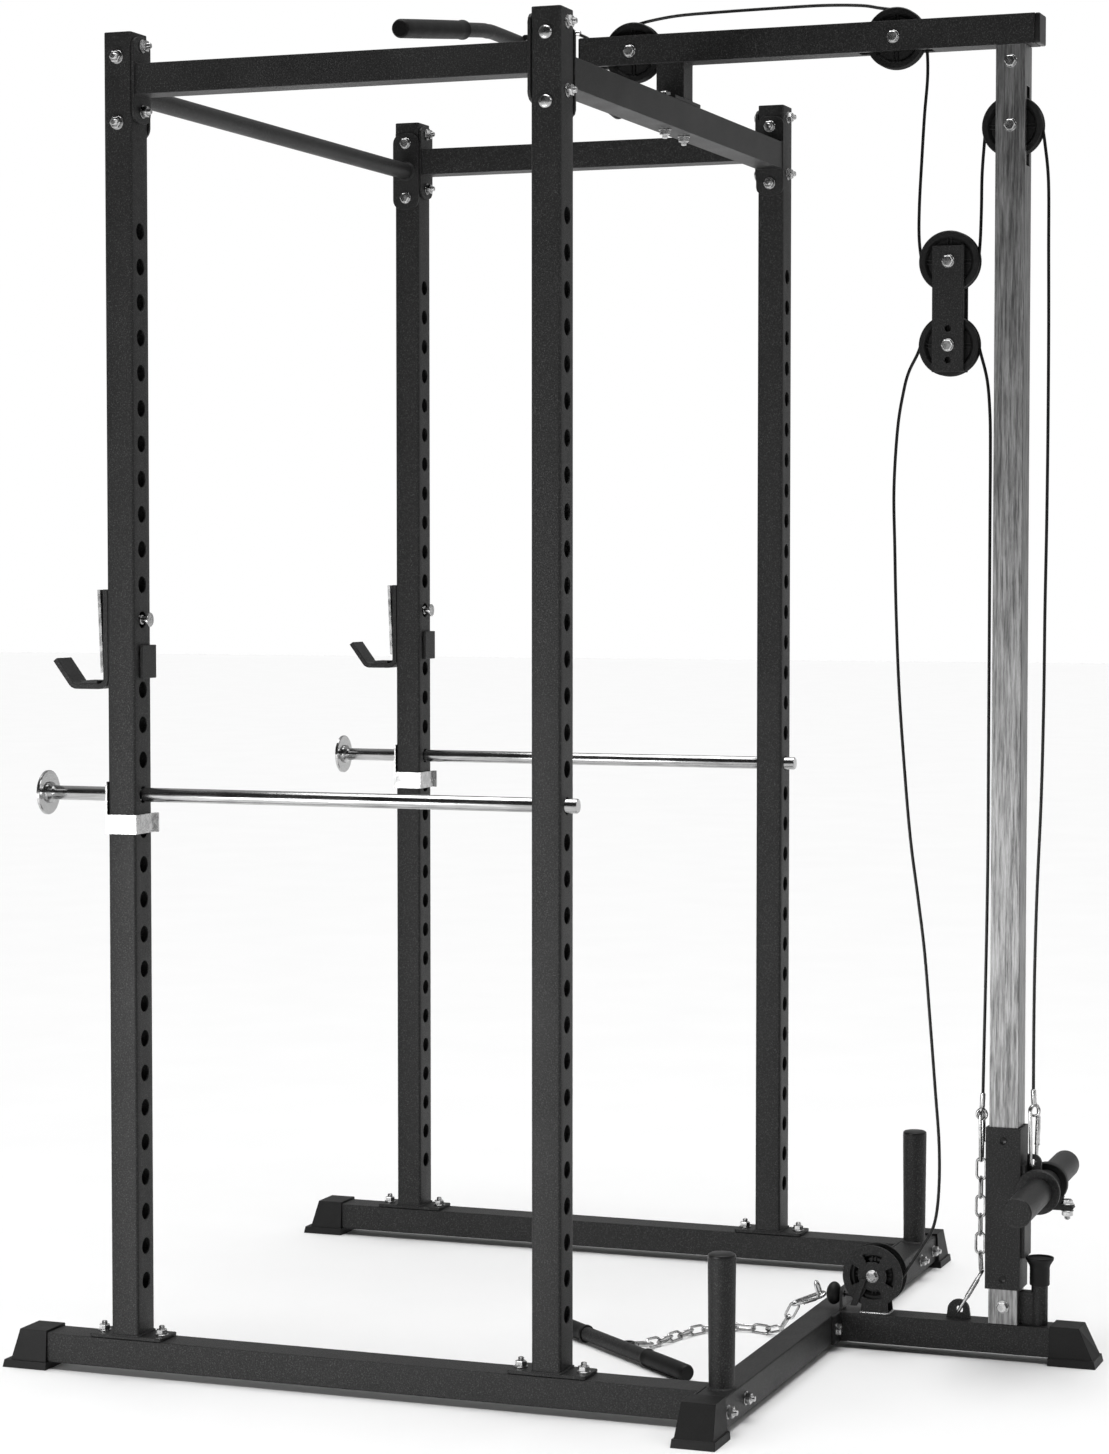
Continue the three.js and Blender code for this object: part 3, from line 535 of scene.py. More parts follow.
def nut(shape, place, axis, stud=6.0):
    """A washer and a nut, with the bolt's end standing out of it."""
    washer(shape, place, axis)
    start = WASHER_THICKNESS
    hexagon = [
        (HEX_RADIUS - 1.2, start), (HEX_RADIUS, start + 0.8),
        (HEX_RADIUS, start + 7.2), (HEX_RADIUS - 1.4, start + 8.2)]
    shape.lathe(place, axis, hexagon, sides=6)
    pitch = 0.7
    turns = int((stud + 1.0) / pitch)
    threads = [(THREAD_RADIUS - 0.5 * (k % 2), start + 7.0 + k * pitch) for k in range(turns)]
    shape.lathe(place, axis, threads + [(THREAD_RADIUS - 1.2, start + 8.2 + stud)], sides=16)


def bolts(name, pairs, body="frame", head=bolt_head):
    """Bolts with nuts. Each pair is the places of a head and its nut, on two outer faces."""
    shape = Shape()
    for head_place, nut_place in pairs:
        outward = (Vector(head_place) - Vector(nut_place)).normalized()
        head(shape, head_place, outward)
        nut(shape, nut_place, -outward)
    shape.piece(name, ZINC, body)


OUTER = POST_X + POST_HALF
PLATE_INNER = POST_X - POST_HALF - PLATE
BOOM_PLATE_TOP = CROSS_BEAM_Z + HALF + PLATE
BOLT_ROWS_Y = (2093.0, 2200.0)   # heights of the bolts that run front to back
BOLT_ROWS_X = (2073.0, 2180.0)   # heights of the bolts that run side to side

bolts("side_beam_bolts", [
    pair for x in (POST_X, -POST_X) for z in BOLT_ROWS_Y for pair in (
        ((x, -POST_Y - HALF, z), (x, -POST_Y + HALF + PLATE, z)),
        ((x, POST_Y - HALF - PLATE, z), (x, POST_Y + HALF, z)))])
bolts("pull_up_bar_bolts", [
    ((side * PLATE_INNER, -POST_Y, z), (side * OUTER, -POST_Y, z)) for side in (1, -1) for z in BOLT_ROWS_X])
bolts("cross_beam_bolts", [
    ((side * OUTER, POST_Y, z), (side * PLATE_INNER, POST_Y, z))
    for side in (1, -1) for z in BOLT_ROWS_X], head=round_head)
foot_nuts = Shape()
for x, y in CORNERS.values():
    for offset in (-53.5, 53.5):
        nut(foot_nuts, (x, y + offset, UPRIGHT_BOTTOM), AXES["z"])
foot_nuts.piece("foot_plate_nuts", ZINC, "frame")
bolts("side_base_bolts", [
    ((x + offset, REAR_BASE_Y - HALF - PLATE, BASE_MIDDLE), (x + offset, REAR_BASE_Y + HALF, BASE_MIDDLE))
    for x in (POST_X, -POST_X) for offset in (-47, 47)])
bolts("tail_base_bolts", [
    ((x, REAR_BASE_Y + HALF + PLATE, BASE_MIDDLE), (x, REAR_BASE_Y - HALF, BASE_MIDDLE)) for x in (-47, 47)])
bolts("boom_post_bolts", [
    ((x, POST_Y, BOOM_PLATE_TOP), (x, POST_Y, CROSS_BEAM_Z - HALF)) for x in (-52, 52)])
bolts("column_bolts", [((HALF, COLUMN_Y, z), (-HALF, COLUMN_Y, z)) for z in (92.5, 2190.0)])


# ---------------- welds

WELD_RIPPLE = 3.2


def weld(shape, corners, radius=2.4):
    """A rippled weld bead round a closed run of corners."""
    path, radii = [], []
    loop = [Vector(c) for c in corners]
    for a, b in zip(loop, loop[1:] + loop[:1]):
        count = max(2, int((b - a).length / WELD_RIPPLE * 2))
        for i in range(count):
            path.append(a.lerp(b, i / count))
            radii.append(radius * (1.0 if i % 2 else 0.78))
    shape.sweep(path, radii, sides=8, closed=True)


welds = Shape()
for x, y in CORNERS.values():
    weld(welds, [(x + a * POST_HALF, y + b * HALF, UPRIGHT_BOTTOM + 0.6) for a, b in SQUARE])
for x in (POST_X, -POST_X):
    for y in (-POST_Y + HALF + PLATE, POST_Y - HALF - PLATE):
        weld(welds, [(x + a * (HALF - 1), y, SIDE_BEAM_Z + b * HALF) for a, b in SQUARE], 2.0)
for x in (PLATE_INNER, -PLATE_INNER):
    weld(welds, [(x, POST_Y + a * HALF, CROSS_BEAM_Z + b * HALF) for a, b in SQUARE], 2.0)
for z, radius in ((BOOM_PLATE_TOP, 2.0), (BOOM_MIDDLE - HALF - 0.5, 1.6)):
    weld(welds, [(a * HALF, POST_Y + b * (HALF - 1), z) for a, b in SQUARE], radius)
welds.piece("frame_welds", COAT, "frame", sharp=60)


# ---------------- uprights

def cut(thing, cutter):
    """Takes the cutter's shape out of a mesh object for good."""
    boolean = thing.modifiers.new("cut", "BOOLEAN")
    boolean.object = cutter
    boolean.solver = "EXACT"
    bpy.context.view_layer.update()
    evaluated = thing.evaluated_get(bpy.context.evaluated_depsgraph_get())
    mesh = bpy.data.meshes.new_from_object(evaluated)
    thing.modifiers.clear()
    thing.data = mesh


def upright_tube(x, y, name):
    """A hollow tube with round holes through its front and rear walls."""
    outer = rounded_rectangle(x, y, POST_HALF, HALF, 5.0)
    inner = rounded_rectangle(x, y, POST_HALF - WALL, HALF - WALL, 2.5)
    top = UPRIGHT_TOP - 1
    levels = [(outer, UPRIGHT_BOTTOM), (outer, top), (inner, top), (inner, UPRIGHT_BOTTOM)]
    rings = [[(px, py, z) for px, py in ring] for ring, z in levels]
    tube = Shape().loft(rings, closed=True).plain_object(name)
    pins = Shape()
    for k in range(HOLE_COUNT):
        profile = [(HOLE_RADIUS, -HALF - 2), (HOLE_RADIUS, HALF + 2)]
        pins.lathe((x, y, TOP_HOLE_Z - k * HOLE_PITCH), "y", profile, sides=32)
    cutter = pins.plain_object("cutter")
    cut(tube, cutter)
    bpy.data.objects.remove(cutter)
    finish_surface(tube.data, COAT)
    return tube


def upright(x, y, node):
    """A drilled tube with its foot plate and the plug in its top."""
    tube = upright_tube(x, y, node + "_tube")
    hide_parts(node)
    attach(tube, "frame")
    outline = rounded_rectangle(x, y, POST_HALF, 67, 5)
    plate = Shape().prism(outline, "z", BASE_TOP + 0.3, UPRIGHT_BOTTOM)
    plate.piece(node + "_foot_plate", COAT, "frame", bevel=0.8)
    top = rounded_rectangle(x, y, POST_HALF - 0.3, HALF - 0.3, 4.8)
    plug = rounded_rectangle(x, y, POST_HALF - 3, HALF - 3, 2)
    cap = Shape().prism(top, "z", UPRIGHT_TOP - 1, UPRIGHT_TOP - 0.1)
    cap.prism(plug, "z", UPRIGHT_TOP - 16, UPRIGHT_TOP - 0.5)
    cap.piece(node + "_cap", NYLON, "frame", bevel=0.8)


for label, (x, y) in CORNERS.items():
    upright(x, y, f"upright_{label}")


# ---------------- pull-up bar, end caps, storage posts

PULL_UP_RADIUS = 16
turned("pull_up_bar_tube", COAT, "frame", (0, -POST_Y, CROSS_BEAM_Z), "x",
       [(PULL_UP_RADIUS, -PLATE_INNER), (PULL_UP_RADIUS, PLATE_INNER)], ["pull_up_bar"], sides=40)
for side, label in SIDES:
    face = side * (POST_X - POST_HALF - 0.3)
    outline = rounded_rectangle(-POST_Y, CROSS_BEAM_Z, 27, 75, 20, 6)
    plate = Shape().prism(outline, "x", *sorted((face, side * PLATE_INNER)))
    plate.piece(f"pull_up_bar_plate_{label}", COAT, "frame", bevel=0.8)
    profile = [(PULL_UP_RADIUS, -side * 3.5), (18.5, -side * 1.5), (19.5, 0)]
    centre = (side * PLATE_INNER, -POST_Y, CROSS_BEAM_Z)
    turned(f"pull_up_bar_weld_{label}", COAT, "frame", centre, "x", profile, sides=40)

BOOM_CAPS = (("boom_front_cap", BOOM_FRONT - 3, BOOM_FRONT), ("boom_rear_cap", BOOM_REAR, BOOM_REAR + 9))
for name, y0, y1 in BOOM_CAPS:
    outline = rounded_rectangle(0, BOOM_MIDDLE, HALF, HALF, 3)
    Shape().prism(outline, "y", y0, y1).piece(name, NYLON, "frame", bevel=2.5)

for side, label in SIDES:
    centre = (side * POST_X, REAR_BASE_Y, BASE_TOP)
    node = f"storage_post_{label}"
    turned(f"{node}_tube", COAT, "frame", centre, "z", [(20.5, 0.3), (22.4, 206)], [node], sides=40)
    cap = [
        (21.4, 205), (22.4, 206.6), (22.5, 208.5), (21.6, 211.2), (18.5, 213.0), (12.0, 214.0), (0.0, 214.3)]
    turned(f"{node}_cap", NYLON, "frame", centre, "z", cap, sides=40)
    bead = [(24.0, 0), (22.9, 1.8), (20.5, 3.4)]
    turned(f"{node}_weld", COAT, "frame", centre, "z", bead, sides=40)


# ---------------- pulleys

def build_pulley(node, y, z, radius, groove):
    """A grooved wheel with four pairs of ribs in each face."""
    half = 10.0
    side = [                     # one side of its section, from its bore to the bottom of its groove
        (5.7, -half + 1), (13.0, -half + 1), (14.0, -half + 5.5), (radius - 15, -half + 6.2),
        (radius - 11, -half + 1.2), (radius - 9.5, -half), (radius - 1.5, -half), (radius, -half + 1.2),
        (radius - 0.5, -half + 2.6), (groove + 0.6, -2.4), (groove, 0.0)]
    profile = side + [(r, -a) for r, a in reversed(side[:-1])]
    wheel = Shape().lathe((0, y, z), "x", profile, sides=72, closed=True)
    for k in range(4):
        turn = Matrix.Translation((0, y, z)) @ Matrix.Rotation(math.radians(90 * k), 4, "X")
        for offset in (-3.0, 3.0):
            for face in (-1, 1):
                depths = sorted((face * (half - 6.6), face * (half - 3.2)))
                rib = Shape().box(*depths, offset - 0.8, offset + 0.8, 13.0, radius - 12.5)
                wheel.join(rib, turn)
    wheel.piece(node + "_wheel", NYLON, node, [node])


for name, (y, z) in PULLEYS.items():
    build_pulley(name, y, z, *(LOW_PULLEY_SIZE if name == "low_pulley" else PULLEY_SIZE))


def pulley_bolt(node, body, y, z, half):
    """A bolt with its head on the near side, its nut on the far side and its shank between them."""
    shape = Shape()
    bolt_head(shape, (half, y, z), AXES["x"])
    nut(shape, (-half, y, z), -AXES["x"], stud=4.0)
    shape.lathe((0, y, z), "x", [(THREAD_RADIUS, -half), (THREAD_RADIUS, half)], sides=20)
    shape.piece(node + "_set", ZINC, body, [node])


BLOCK_HALF = 16.5
for name in ("front_pulley", "rear_pulley", "column_pulley"):
    pulley_bolt(f"{name}_bolt", "frame", *PULLEYS[name], HALF)
for name in ("block_upper", "block_lower"):
    pulley_bolt(f"{name}_bolt", "pulley_block", *PULLEYS[f"{name}_pulley"], BLOCK_HALF)


# ---------------- low pulley guard

def slotted_disc(shape, x0, x1, y, z, radii, slot_half, sides=96):
    """A disc with a bore and four arc slots between its second and third radius, facing along X."""
    def missing(ring, k):
        angle = (k + 0.5) * 360 / sides
        return ring in (-1, len(radii) - 1) or (ring == 1 and abs((angle + 45) % 90 - 45) < slot_half)

    verts = []
    for x in (x0, x1):
        for radius in radii:
            for k in range(sides):
                angle = 2 * math.pi * k / sides
                verts.append((x, y + radius * math.cos(angle), z + radius * math.sin(angle)))
    layer = len(radii) * sides
    faces = []
    for ring in range(len(radii) - 1):
        for k in range(sides):
            if missing(ring, k):
                continue
            after = (k + 1) % sides
            a, b = ring * sides + k, ring * sides + after
            c, d = a + sides, b + sides
            faces.append([a, b, d, c])
            faces.append([layer + a, layer + c, layer + d, layer + b])
            if missing(ring - 1, k):
                faces.append([a, layer + a, layer + b, b])
            if missing(ring + 1, k):
                faces.append([c, d, layer + d, layer + c])
            if missing(ring, (k - 1) % sides):
                faces.append([a, c, layer + c, layer + a])
            if missing(ring, after):
                faces.append([b, layer + b, layer + d, d])
    return shape.add(verts, faces)


GUARD_HALF = 18.0
GUARD_PLATE = 4.0
guard = Shape()
guard_foot = Shape()
foot_outline = [
    (LOW_PULLEY_Y - 21, BASE_TOP + 0.3), (LOW_PULLEY_Y + 28, BASE_TOP + 0.3),
    (LOW_PULLEY_Y + 26, LOW_PULLEY_Z - 45), (LOW_PULLEY_Y - 19, LOW_PULLEY_Z - 48)]
for x0 in (-GUARD_HALF, GUARD_HALF - GUARD_PLATE):
    x1 = x0 + GUARD_PLATE
    slotted_disc(guard, x0, x1, LOW_PULLEY_Y, LOW_PULLEY_Z, [5.8, 25.0, 40.0, 53.0], 26)
    guard_foot.prism(foot_outline, "x", x0 + 0.05, x1 - 0.05)
guard.piece("low_pulley_guard_discs", COAT, "frame", ["low_pulley_bracket"], bevel=0.7)
guard_foot.piece("low_pulley_guard_feet", COAT, "frame", bevel=0.6)
arm = [(LOW_PULLEY_Y + y, LOW_PULLEY_Z + z) for y, z in ((-38, -52), (-26, -52), (-9, -4), (-20, -4))]
arm_plate = Shape().prism(arm, "x", GUARD_HALF + 0.1, GUARD_HALF + 5.5)
arm_plate.piece("low_pulley_arm", COAT, "frame", bevel=1.0)
guard_weld = Shape()
weld(guard_weld, [(side * GUARD_HALF, LOW_PULLEY_Y + y, BASE_TOP + 0.8)
                  for side, y in ((1, -21), (1, 28), (-1, 28), (-1, -21))], 2.2)
guard_weld.piece("low_pulley_weld", ZINC, "frame", sharp=60)
pulley_bolt("low_pulley_bolt", "frame", LOW_PULLEY_Y, LOW_PULLEY_Z, GUARD_HALF)


# ---------------- weight peg and bumper

peg_centre = (0, PEG_Y, PEG_Z)
peg_axis = Vector((math.cos(PEG_TURN), math.sin(PEG_TURN), 0))
peg_profile = [
    (PEG_RADIUS - 2, -PEG_HALF), (PEG_RADIUS, -PEG_HALF + 2),
    (PEG_RADIUS, PEG_HALF - 2), (PEG_RADIUS - 2, PEG_HALF)]
turned("weight_peg_bar", COAT, "weight_carriage", peg_centre, peg_axis, peg_profile, ["weight_peg"])
turned("weight_peg_near_collar", COAT, "weight_carriage", peg_centre, peg_axis,
       [(PEG_RADIUS, 38), (36.5, 38), (38, 39.5), (38, 46.5), (36.5, 48), (32, 48.6), (PEG_RADIUS, 48.6)])
turned("weight_peg_far_collar", RUBBER, "weight_carriage", peg_centre, peg_axis,
       [(PEG_RADIUS, -55), (34.5, -55), (36, -53.5), (36, -40.5), (34.5, -39), (PEG_RADIUS, -39)])
ear_plate = ((6, -34), (44, -34), (46, -39), (42, -44), (-6, -44))
ear_rib = ((-4, -36), (24, -36), (28, -22), (16, -14))
peg_ear = Shape().prism([(PEG_Y + y, PEG_Z + z) for y, z in ear_plate], "x", -55, -38)
peg_ear.prism([(PEG_Y + y, PEG_Z + z) for y, z in ear_rib], "x", -54, -39)
peg_ear.piece("weight_peg_ear", COAT, "weight_carriage", bevel=1.0)
ear_bolt_y = PEG_Y + 34
bolts("weight_peg_ear_bolt", [
    ((-46.5, ear_bolt_y, PEG_Z - 34), (-46.5, ear_bolt_y, PEG_Z - 44))], "weight_carriage")
saddle = Shape().box(-25, 25, COLUMN_Y + 40.4, PEG_Y, PEG_Z - 20, PEG_Z + 20)
saddle.piece("weight_peg_saddle", COAT, "weight_carriage", bevel=1.5)

bumper_profile = [
    (14.4, 130), (16.2, 130), (17, 131.2), (17, 160), (18, 164), (23.4, 173),
    (24, 175.5), (23.4, 177.4), (21.5, 177.4), (20.0, 175.2), (0, 174.6)]
turned("bumper_pad_rubber", RUBBER, "frame", (0, BUMPER_Y, 0), "z", bumper_profile, ["bumper_pad"])

# Near-black flat discs on the carriage's face: painted shade standing in for the dark inside of its two
# holes, which are not cut.
hole_shade_discs = Shape()
for z in (141.0, 377.0):
    profile = [(7.0, -0.5), (7.0, 0.3), (6.2, 0.5), (5.6, 0.15), (0.0, 0.1)]
    hole_shade_discs.lathe((30.0, COLUMN_Y, z), "x", profile, sides=28)
hole_shade_discs.piece("carriage_hole_shade_discs", SHEATH, "weight_carriage")


# ---------------- J-hooks

HOOK_BAR = 9.0
HOOK_FRONT = -POST_Y - HALF - 1.5
HOOK_REAR = -POST_Y + HALF + 0.3


def offset_path(points, distance):
    """The points of a flat open path moved sideways, to its left, mitred at the bends."""
    moved = []
    for k, point in enumerate(points):
        directions = []
        if k:
            directions.append((point - points[k - 1]).normalized())
        if k + 1 < len(points):
            directions.append((points[k + 1] - point).normalized())
        normals = [Vector((-d.y, d.x)) for d in directions]
        normal = sum(normals, Vector((0, 0))).normalized()
        moved.append(point + normal * (distance / normal.dot(normals[0])))
    return moved


def flat_bar_profile(points, thickness):
    """The outline of a bent flat bar whose one face follows the points."""
    path = [Vector(p) for p in points]
    return [tuple(p) for p in path] + [tuple(p) for p in reversed(offset_path(path, thickness))]


def j_hook(label, x):
    """A bent strap with a side wrap, a pin through the upright, a liner and a pad."""
    body = f"j_hook_{label}"
    floor_z = HOOK_PIN_Z - 115.0
    bend_y = HOOK_FRONT - 57.0
    lip = Vector((-40.0, 54.0)).normalized()
    slope = math.degrees(math.atan2(lip.y, -lip.x))
    radius = HOOK_BAR + 9.0
    corner = arc(HOOK_FRONT - radius, floor_z + radius, radius, 0, -90)
    bend = arc(bend_y - 2.0, floor_z + radius, radius, -90, -90 - slope, 6)
    end = Vector(bend[-1]) + lip * 48.0
    outside = [(HOOK_FRONT, floor_z + 165.0)] + corner + bend + [tuple(end)]
    strap = Shape().prism(flat_bar_profile(outside, -HOOK_BAR), "x", x - HALF, x + HALF)
    strap.piece(f"{body}_strap", COAT, body, [body], bevel=1.0)
    left = x - POST_HALF - 0.3
    low, high = HOOK_PIN_Z - 97.0, HOOK_PIN_Z - 42.0
    wrap_plate = Shape().prism([
        (left - 7, HOOK_FRONT - HOOK_BAR + 1), (x - HALF + 1, HOOK_FRONT - HOOK_BAR + 1),
        (x - HALF + 1, HOOK_FRONT - 0.5), (left, HOOK_FRONT - 0.5), (left, HOOK_REAR),
        (x + 12, HOOK_REAR), (x + 12, HOOK_REAR + 6), (left - 7, HOOK_REAR + 6)], "z", low, high)
    wrap_plate.piece(f"{body}_wrap", COAT, body, bevel=1.2)
    pin = Shape().lathe((x, HOOK_FRONT, HOOK_PIN_Z), "y", [(8, -2), (8, 51)], sides=32)
    pin.lathe((x, HOOK_REAR, HOOK_PIN_Z), "y", [(6, -2), (6, 11.5)], sides=24)
    head = [(8, 0), (11.4, 0.4), (12, 1.2), (12, 3), (11.2, 3.8), (0, 4)]
    pin.lathe((x, HOOK_REAR + 11, HOOK_PIN_Z), "y", head, sides=36)
    pin.piece(f"{body}_pin", ZINC, body)
    face = HOOK_FRONT - HOOK_BAR
    liner = Shape().prism([
        (face - 5, HOOK_PIN_Z + 49.5), (face - 10.5, HOOK_PIN_Z + 49.5),
        (face - 5, HOOK_PIN_Z - 88), (face + 0.2, HOOK_PIN_Z - 88)], "x", x - HALF + 1, x + HALF - 1)
    liner.piece(f"{body}_liner", ZINC, body, bevel=0.5)
    pad_low = floor_z + HOOK_BAR - 0.3
    pad = Shape().box(x - HALF + 1.5, x + HALF - 1.5, bend_y + 6, face - 12, pad_low, pad_low + 5.3)
    pad.piece(f"{body}_pad", PAD, body, bevel=1.0)


for side, label in SIDES:
    j_hook(label, side * POST_X)


# ---------------- safety bars

for side, label in SIDES:
    body = f"safety_bar_{label}"
    centre = (side * POST_X, 0, SAFETY_Z)
    rod = [(10.5, -525), (11.8, -523), (11.8, 416), (10.4, 418)]
    turned(f"{body}_rod", STEEL, body, centre, "y", rod, [body])
    disc = [(0, -530), (35.5, -530), (37, -528.8), (37, -525), (35.8, -524), (14, -524)]
    turned(f"{body}_disc", STEEL, body, centre, "y", disc, sides=64)
    neck = [(18, -524), (17.6, -520), (13.5, -517), (11.8, -515.5)]
    turned(f"{body}_neck", STEEL, body, centre, "y", neck)


# ---------------- lat bar and row bar

LAT_BAR_Y, LAT_BAR_Z, LAT_STRAIGHT, LAT_HALF, LAT_DROP = 85.0, 2270.0, 150.0, 540.0, 54.0
BAR_RADIUS = 12.5
GRIP_RADIUS = 15.5
GRIP_LENGTH = 277.0


def lat_place(along, side):
    """A place on the lat bar's sloping arm, as a share of the arm's length."""
    x = side * (LAT_STRAIGHT + (LAT_HALF - LAT_STRAIGHT) * along)
    return Vector((x, LAT_BAR_Y, LAT_BAR_Z - LAT_DROP * along))


lat_path = [lat_place(share, -1) for share in (0.985, 0.5, 0.10)]
lat_path += [lat_place(0.02, -1) + Vector((2, 0, -1.2)), Vector((-LAT_STRAIGHT + 40, LAT_BAR_Y, LAT_BAR_Z))]
lat_path += [Vector((-p.x, p.y, p.z)) for p in reversed(lat_path)]
lat_tube = Shape().sweep(smooth_path(lat_path, 8), BAR_RADIUS, sides=28)
lat_tube.piece("lat_bar_tube", COAT, "lat_bar", ["lat_bar"], sharp=60)


def moulded_grip(start, direction, length, radius=GRIP_RADIUS):
    """A moulded grip with a lip at its inner end, a faintly swelling hand part and a domed end."""
    shape = Shape()
    lip = radius + 1.2
    profile = [(BAR_RADIUS + 0.2, 0), (lip - 0.6, 0), (lip, 1.5), (lip, 5), (radius, 7)]
    for k in range(1, 12):
        profile.append((radius + 0.25 * math.sin(math.pi * k / 12), 7 + (length - 14) * k / 12))
    profile += [(radius, length - 5), (radius - 1.0, length - 2), (radius - 3.0, length - 0.4), (0, length)]
    return shape.lathe(start, direction, profile, sides=40)


for side, label in SIDES:
    direction = (lat_place(1, side) - lat_place(0, side)).normalized()
    start = lat_place(1, side) - direction * GRIP_LENGTH
    grip = moulded_grip(start, direction, GRIP_LENGTH)
    grip.piece(f"lat_grip_{label}_rubber", RUBBER, "lat_bar", [f"lat_grip_{label}"])


def eye_lug(name, centre, outward, normal, body):
    """A flat lug with a hole and a rounded end, standing out of a bar. The hole is for a snap hook."""
    outward, normal = Vector(outward).normalized(), Vector(normal).normalized()
    across = normal.cross(outward)
    centre = Vector(centre)
    hole, half, root, count = 5.5, 11.0, 14.0, 32
    outline = []
    for k in range(count):
        cosine, sine = math.cos(2 * math.pi * k / count), math.sin(2 * math.pi * k / count)
        reach = half if cosine >= 0 else min(half / max(abs(sine), 1e-6), root / abs(cosine))
        outline.append(centre + (outward * cosine + across * sine) * reach)
    bore = circle(centre, outward, across, hole, count)
    low, high = normal * -4.0, normal * 4.0
    rings = [[p + shift for p in ring] for ring, shift in (
        (outline, low), (outline, high), (bore, high), (bore, low))]
    Shape().loft(rings, closed=True).piece(name, COAT, body, bevel=0.8)


eye_lug("lat_bar_lug", (0, LAT_BAR_Y + 22, LAT_BAR_Z + 2), (0, 1, 0), (1, 0, 0), "lat_bar")

ROW_X, ROW_Y, ROW_Z, ROW_HALF, ROW_TURN = 208.0, 342.0, 15.6, 230.0, math.radians(50)
ROW_GRIP = 130.0
row_direction = Vector((math.cos(ROW_TURN), math.sin(ROW_TURN), 0))
row_side = Vector((-math.sin(ROW_TURN), math.cos(ROW_TURN), 0))
row_centre = Vector((ROW_X, ROW_Y, ROW_Z))
row_profile = [(BAR_RADIUS, 4 - ROW_HALF), (BAR_RADIUS, ROW_HALF - 4)]
turned("row_bar_tube", COAT, "row_bar", row_centre, row_direction, row_profile, ["row_bar"], sides=32)
for side, label in SIDES:
    start = row_centre + row_direction * side * (ROW_HALF - ROW_GRIP)
    grip = moulded_grip(start, row_direction * side, ROW_GRIP, GRIP_RADIUS - 1.2)
    grip.piece(f"row_grip_{label}_rubber", RUBBER, "row_bar", [f"row_grip_{label}"])
eye_lug("row_bar_lug", row_centre + row_side * 24, row_side, (0, 0, 1), "row_bar")


# ---------------- chains, snap hooks and cable ends

LINK_PITCH = 31.0
LINK_WIRE = 2.3
LINK_HALF_WIDTH = 7.6            # to the middle of the wire


def stadium(half_length, half_width, count=8):
    """A flat loop with straight sides and round ends."""
    straight = half_length - half_width
    return arc(straight, 0, half_width, -90, 90, count) + arc(-straight, 0, half_width, 90, 270, count)


def frame_along(direction, turn):
    """A rotation that takes X along a direction, then turns about it."""
    side, up = basis(direction)
    rotation = Matrix((direction, side, up)).transposed().to_4x4()
    return rotation @ Matrix.Rotation(turn, 4, "X")


def chain(shape, path, first_turn=0.0):
    """Links along a path, each a quarter turn from the last."""
    path = [Vector(p) for p in path]
    lengths = [0.0]
    for a, b in zip(path, path[1:]):
        lengths.append(lengths[-1] + (b - a).length)
    count = round(lengths[-1] / LINK_PITCH)
    pitch = lengths[-1] / count

    def place(distance):
        k = max(i for i, total in enumerate(lengths[:-1]) if total <= distance + 1e-6)
        share = (distance - lengths[k]) / (lengths[k + 1] - lengths[k])
        return path[k].lerp(path[k + 1], min(1.0, share))

    half_length = pitch / 2 + LINK_WIRE * 0.95
    loop = stadium(half_length, LINK_HALF_WIDTH)
    for k in range(count):
        start, end = place(k * pitch), place((k + 1) * pitch)
        turn = first_turn + (math.pi / 2) * (k % 2)
        matrix = Matrix.Translation((start + end) / 2) @ frame_along((end - start).normalized(), turn)
        link = Shape().sweep([(a, b, 0) for a, b in loop], LINK_WIRE, sides=10, closed=True)
        shape.join(link, matrix)
    return shape


def snap_hook(shape, start, end, normal, big=11.0):
    """A spring snap hook from one eye's middle to another's, square to the normal, big end first."""
    wire, small = 3.0, 7.0
    start, end = Vector(start), Vector(end)
    normal = Vector(normal).normalized()
    along = (end - start).normalized()
    across = normal.cross(along)
    length = (end - start).length
    flat = arc(0, 0, big, 90, 270, 8) + arc(length, 0, small, -90, 90, 8)
    loop = [start + along * (a + (wire if a > length / 2 else -wire)) + across * b for a, b in flat]
    shape.sweep(loop, wire, sides=12, closed=True)
    gate_start = start + along * (length * 0.08) + across * (big - 0.5)
    gate_end = start + along * (length * 0.66) + across * ((big + small) / 2)
    gate = gate_end - gate_start
    barrel = [(wire + 1.0, 0), (wire + 1.3, 2), (wire + 1.3, gate.length)]
    shape.lathe(gate_start, gate.normalized(), barrel, sides=16)
    shape.lathe(gate_end - normal * (wire + 2), normal, [(1.6, 0), (1.6, 2 * wire + 4)], sides=12)
    return shape


def cable_end(name, start, towards, body):
    """A pressed ferrule on a cable's end, then its teardrop wire eye."""
    start, along = Vector(start), Vector(towards).normalized()
    across = AXES["x"].cross(along)
    ferrule_length, eye = 24.0, 8.5
    shape = Shape()
    ferrule = [(3.1, -1), (4.3, 0), (4.6, 2), (4.6, ferrule_length - 2), (4.2, ferrule_length)]
    shape.lathe(start - along * 2, along, ferrule, sides=24)
    middle = start + along * (ferrule_length + eye + 1)
    flat = arc(0, 0, eye, -130, 130, 14) + [(-eye - 4, 0)]
    shape.sweep([middle + along * a + across * b for a, b in flat], 2.4, sides=12, closed=True)
    shape.piece(name, ZINC, body)
    return middle


DROP_END = cable_end("lat_drop_end", (0, 1017, 460), (0.0, 0.06, -1), "weight_carriage")
hook = snap_hook(Shape(), DROP_END + Vector((0, 0, -4)), (0, 1018, 341), (0.45, 0.9, 0))
hook.piece("carriage_snap_hook", ZINC, "weight_carriage")

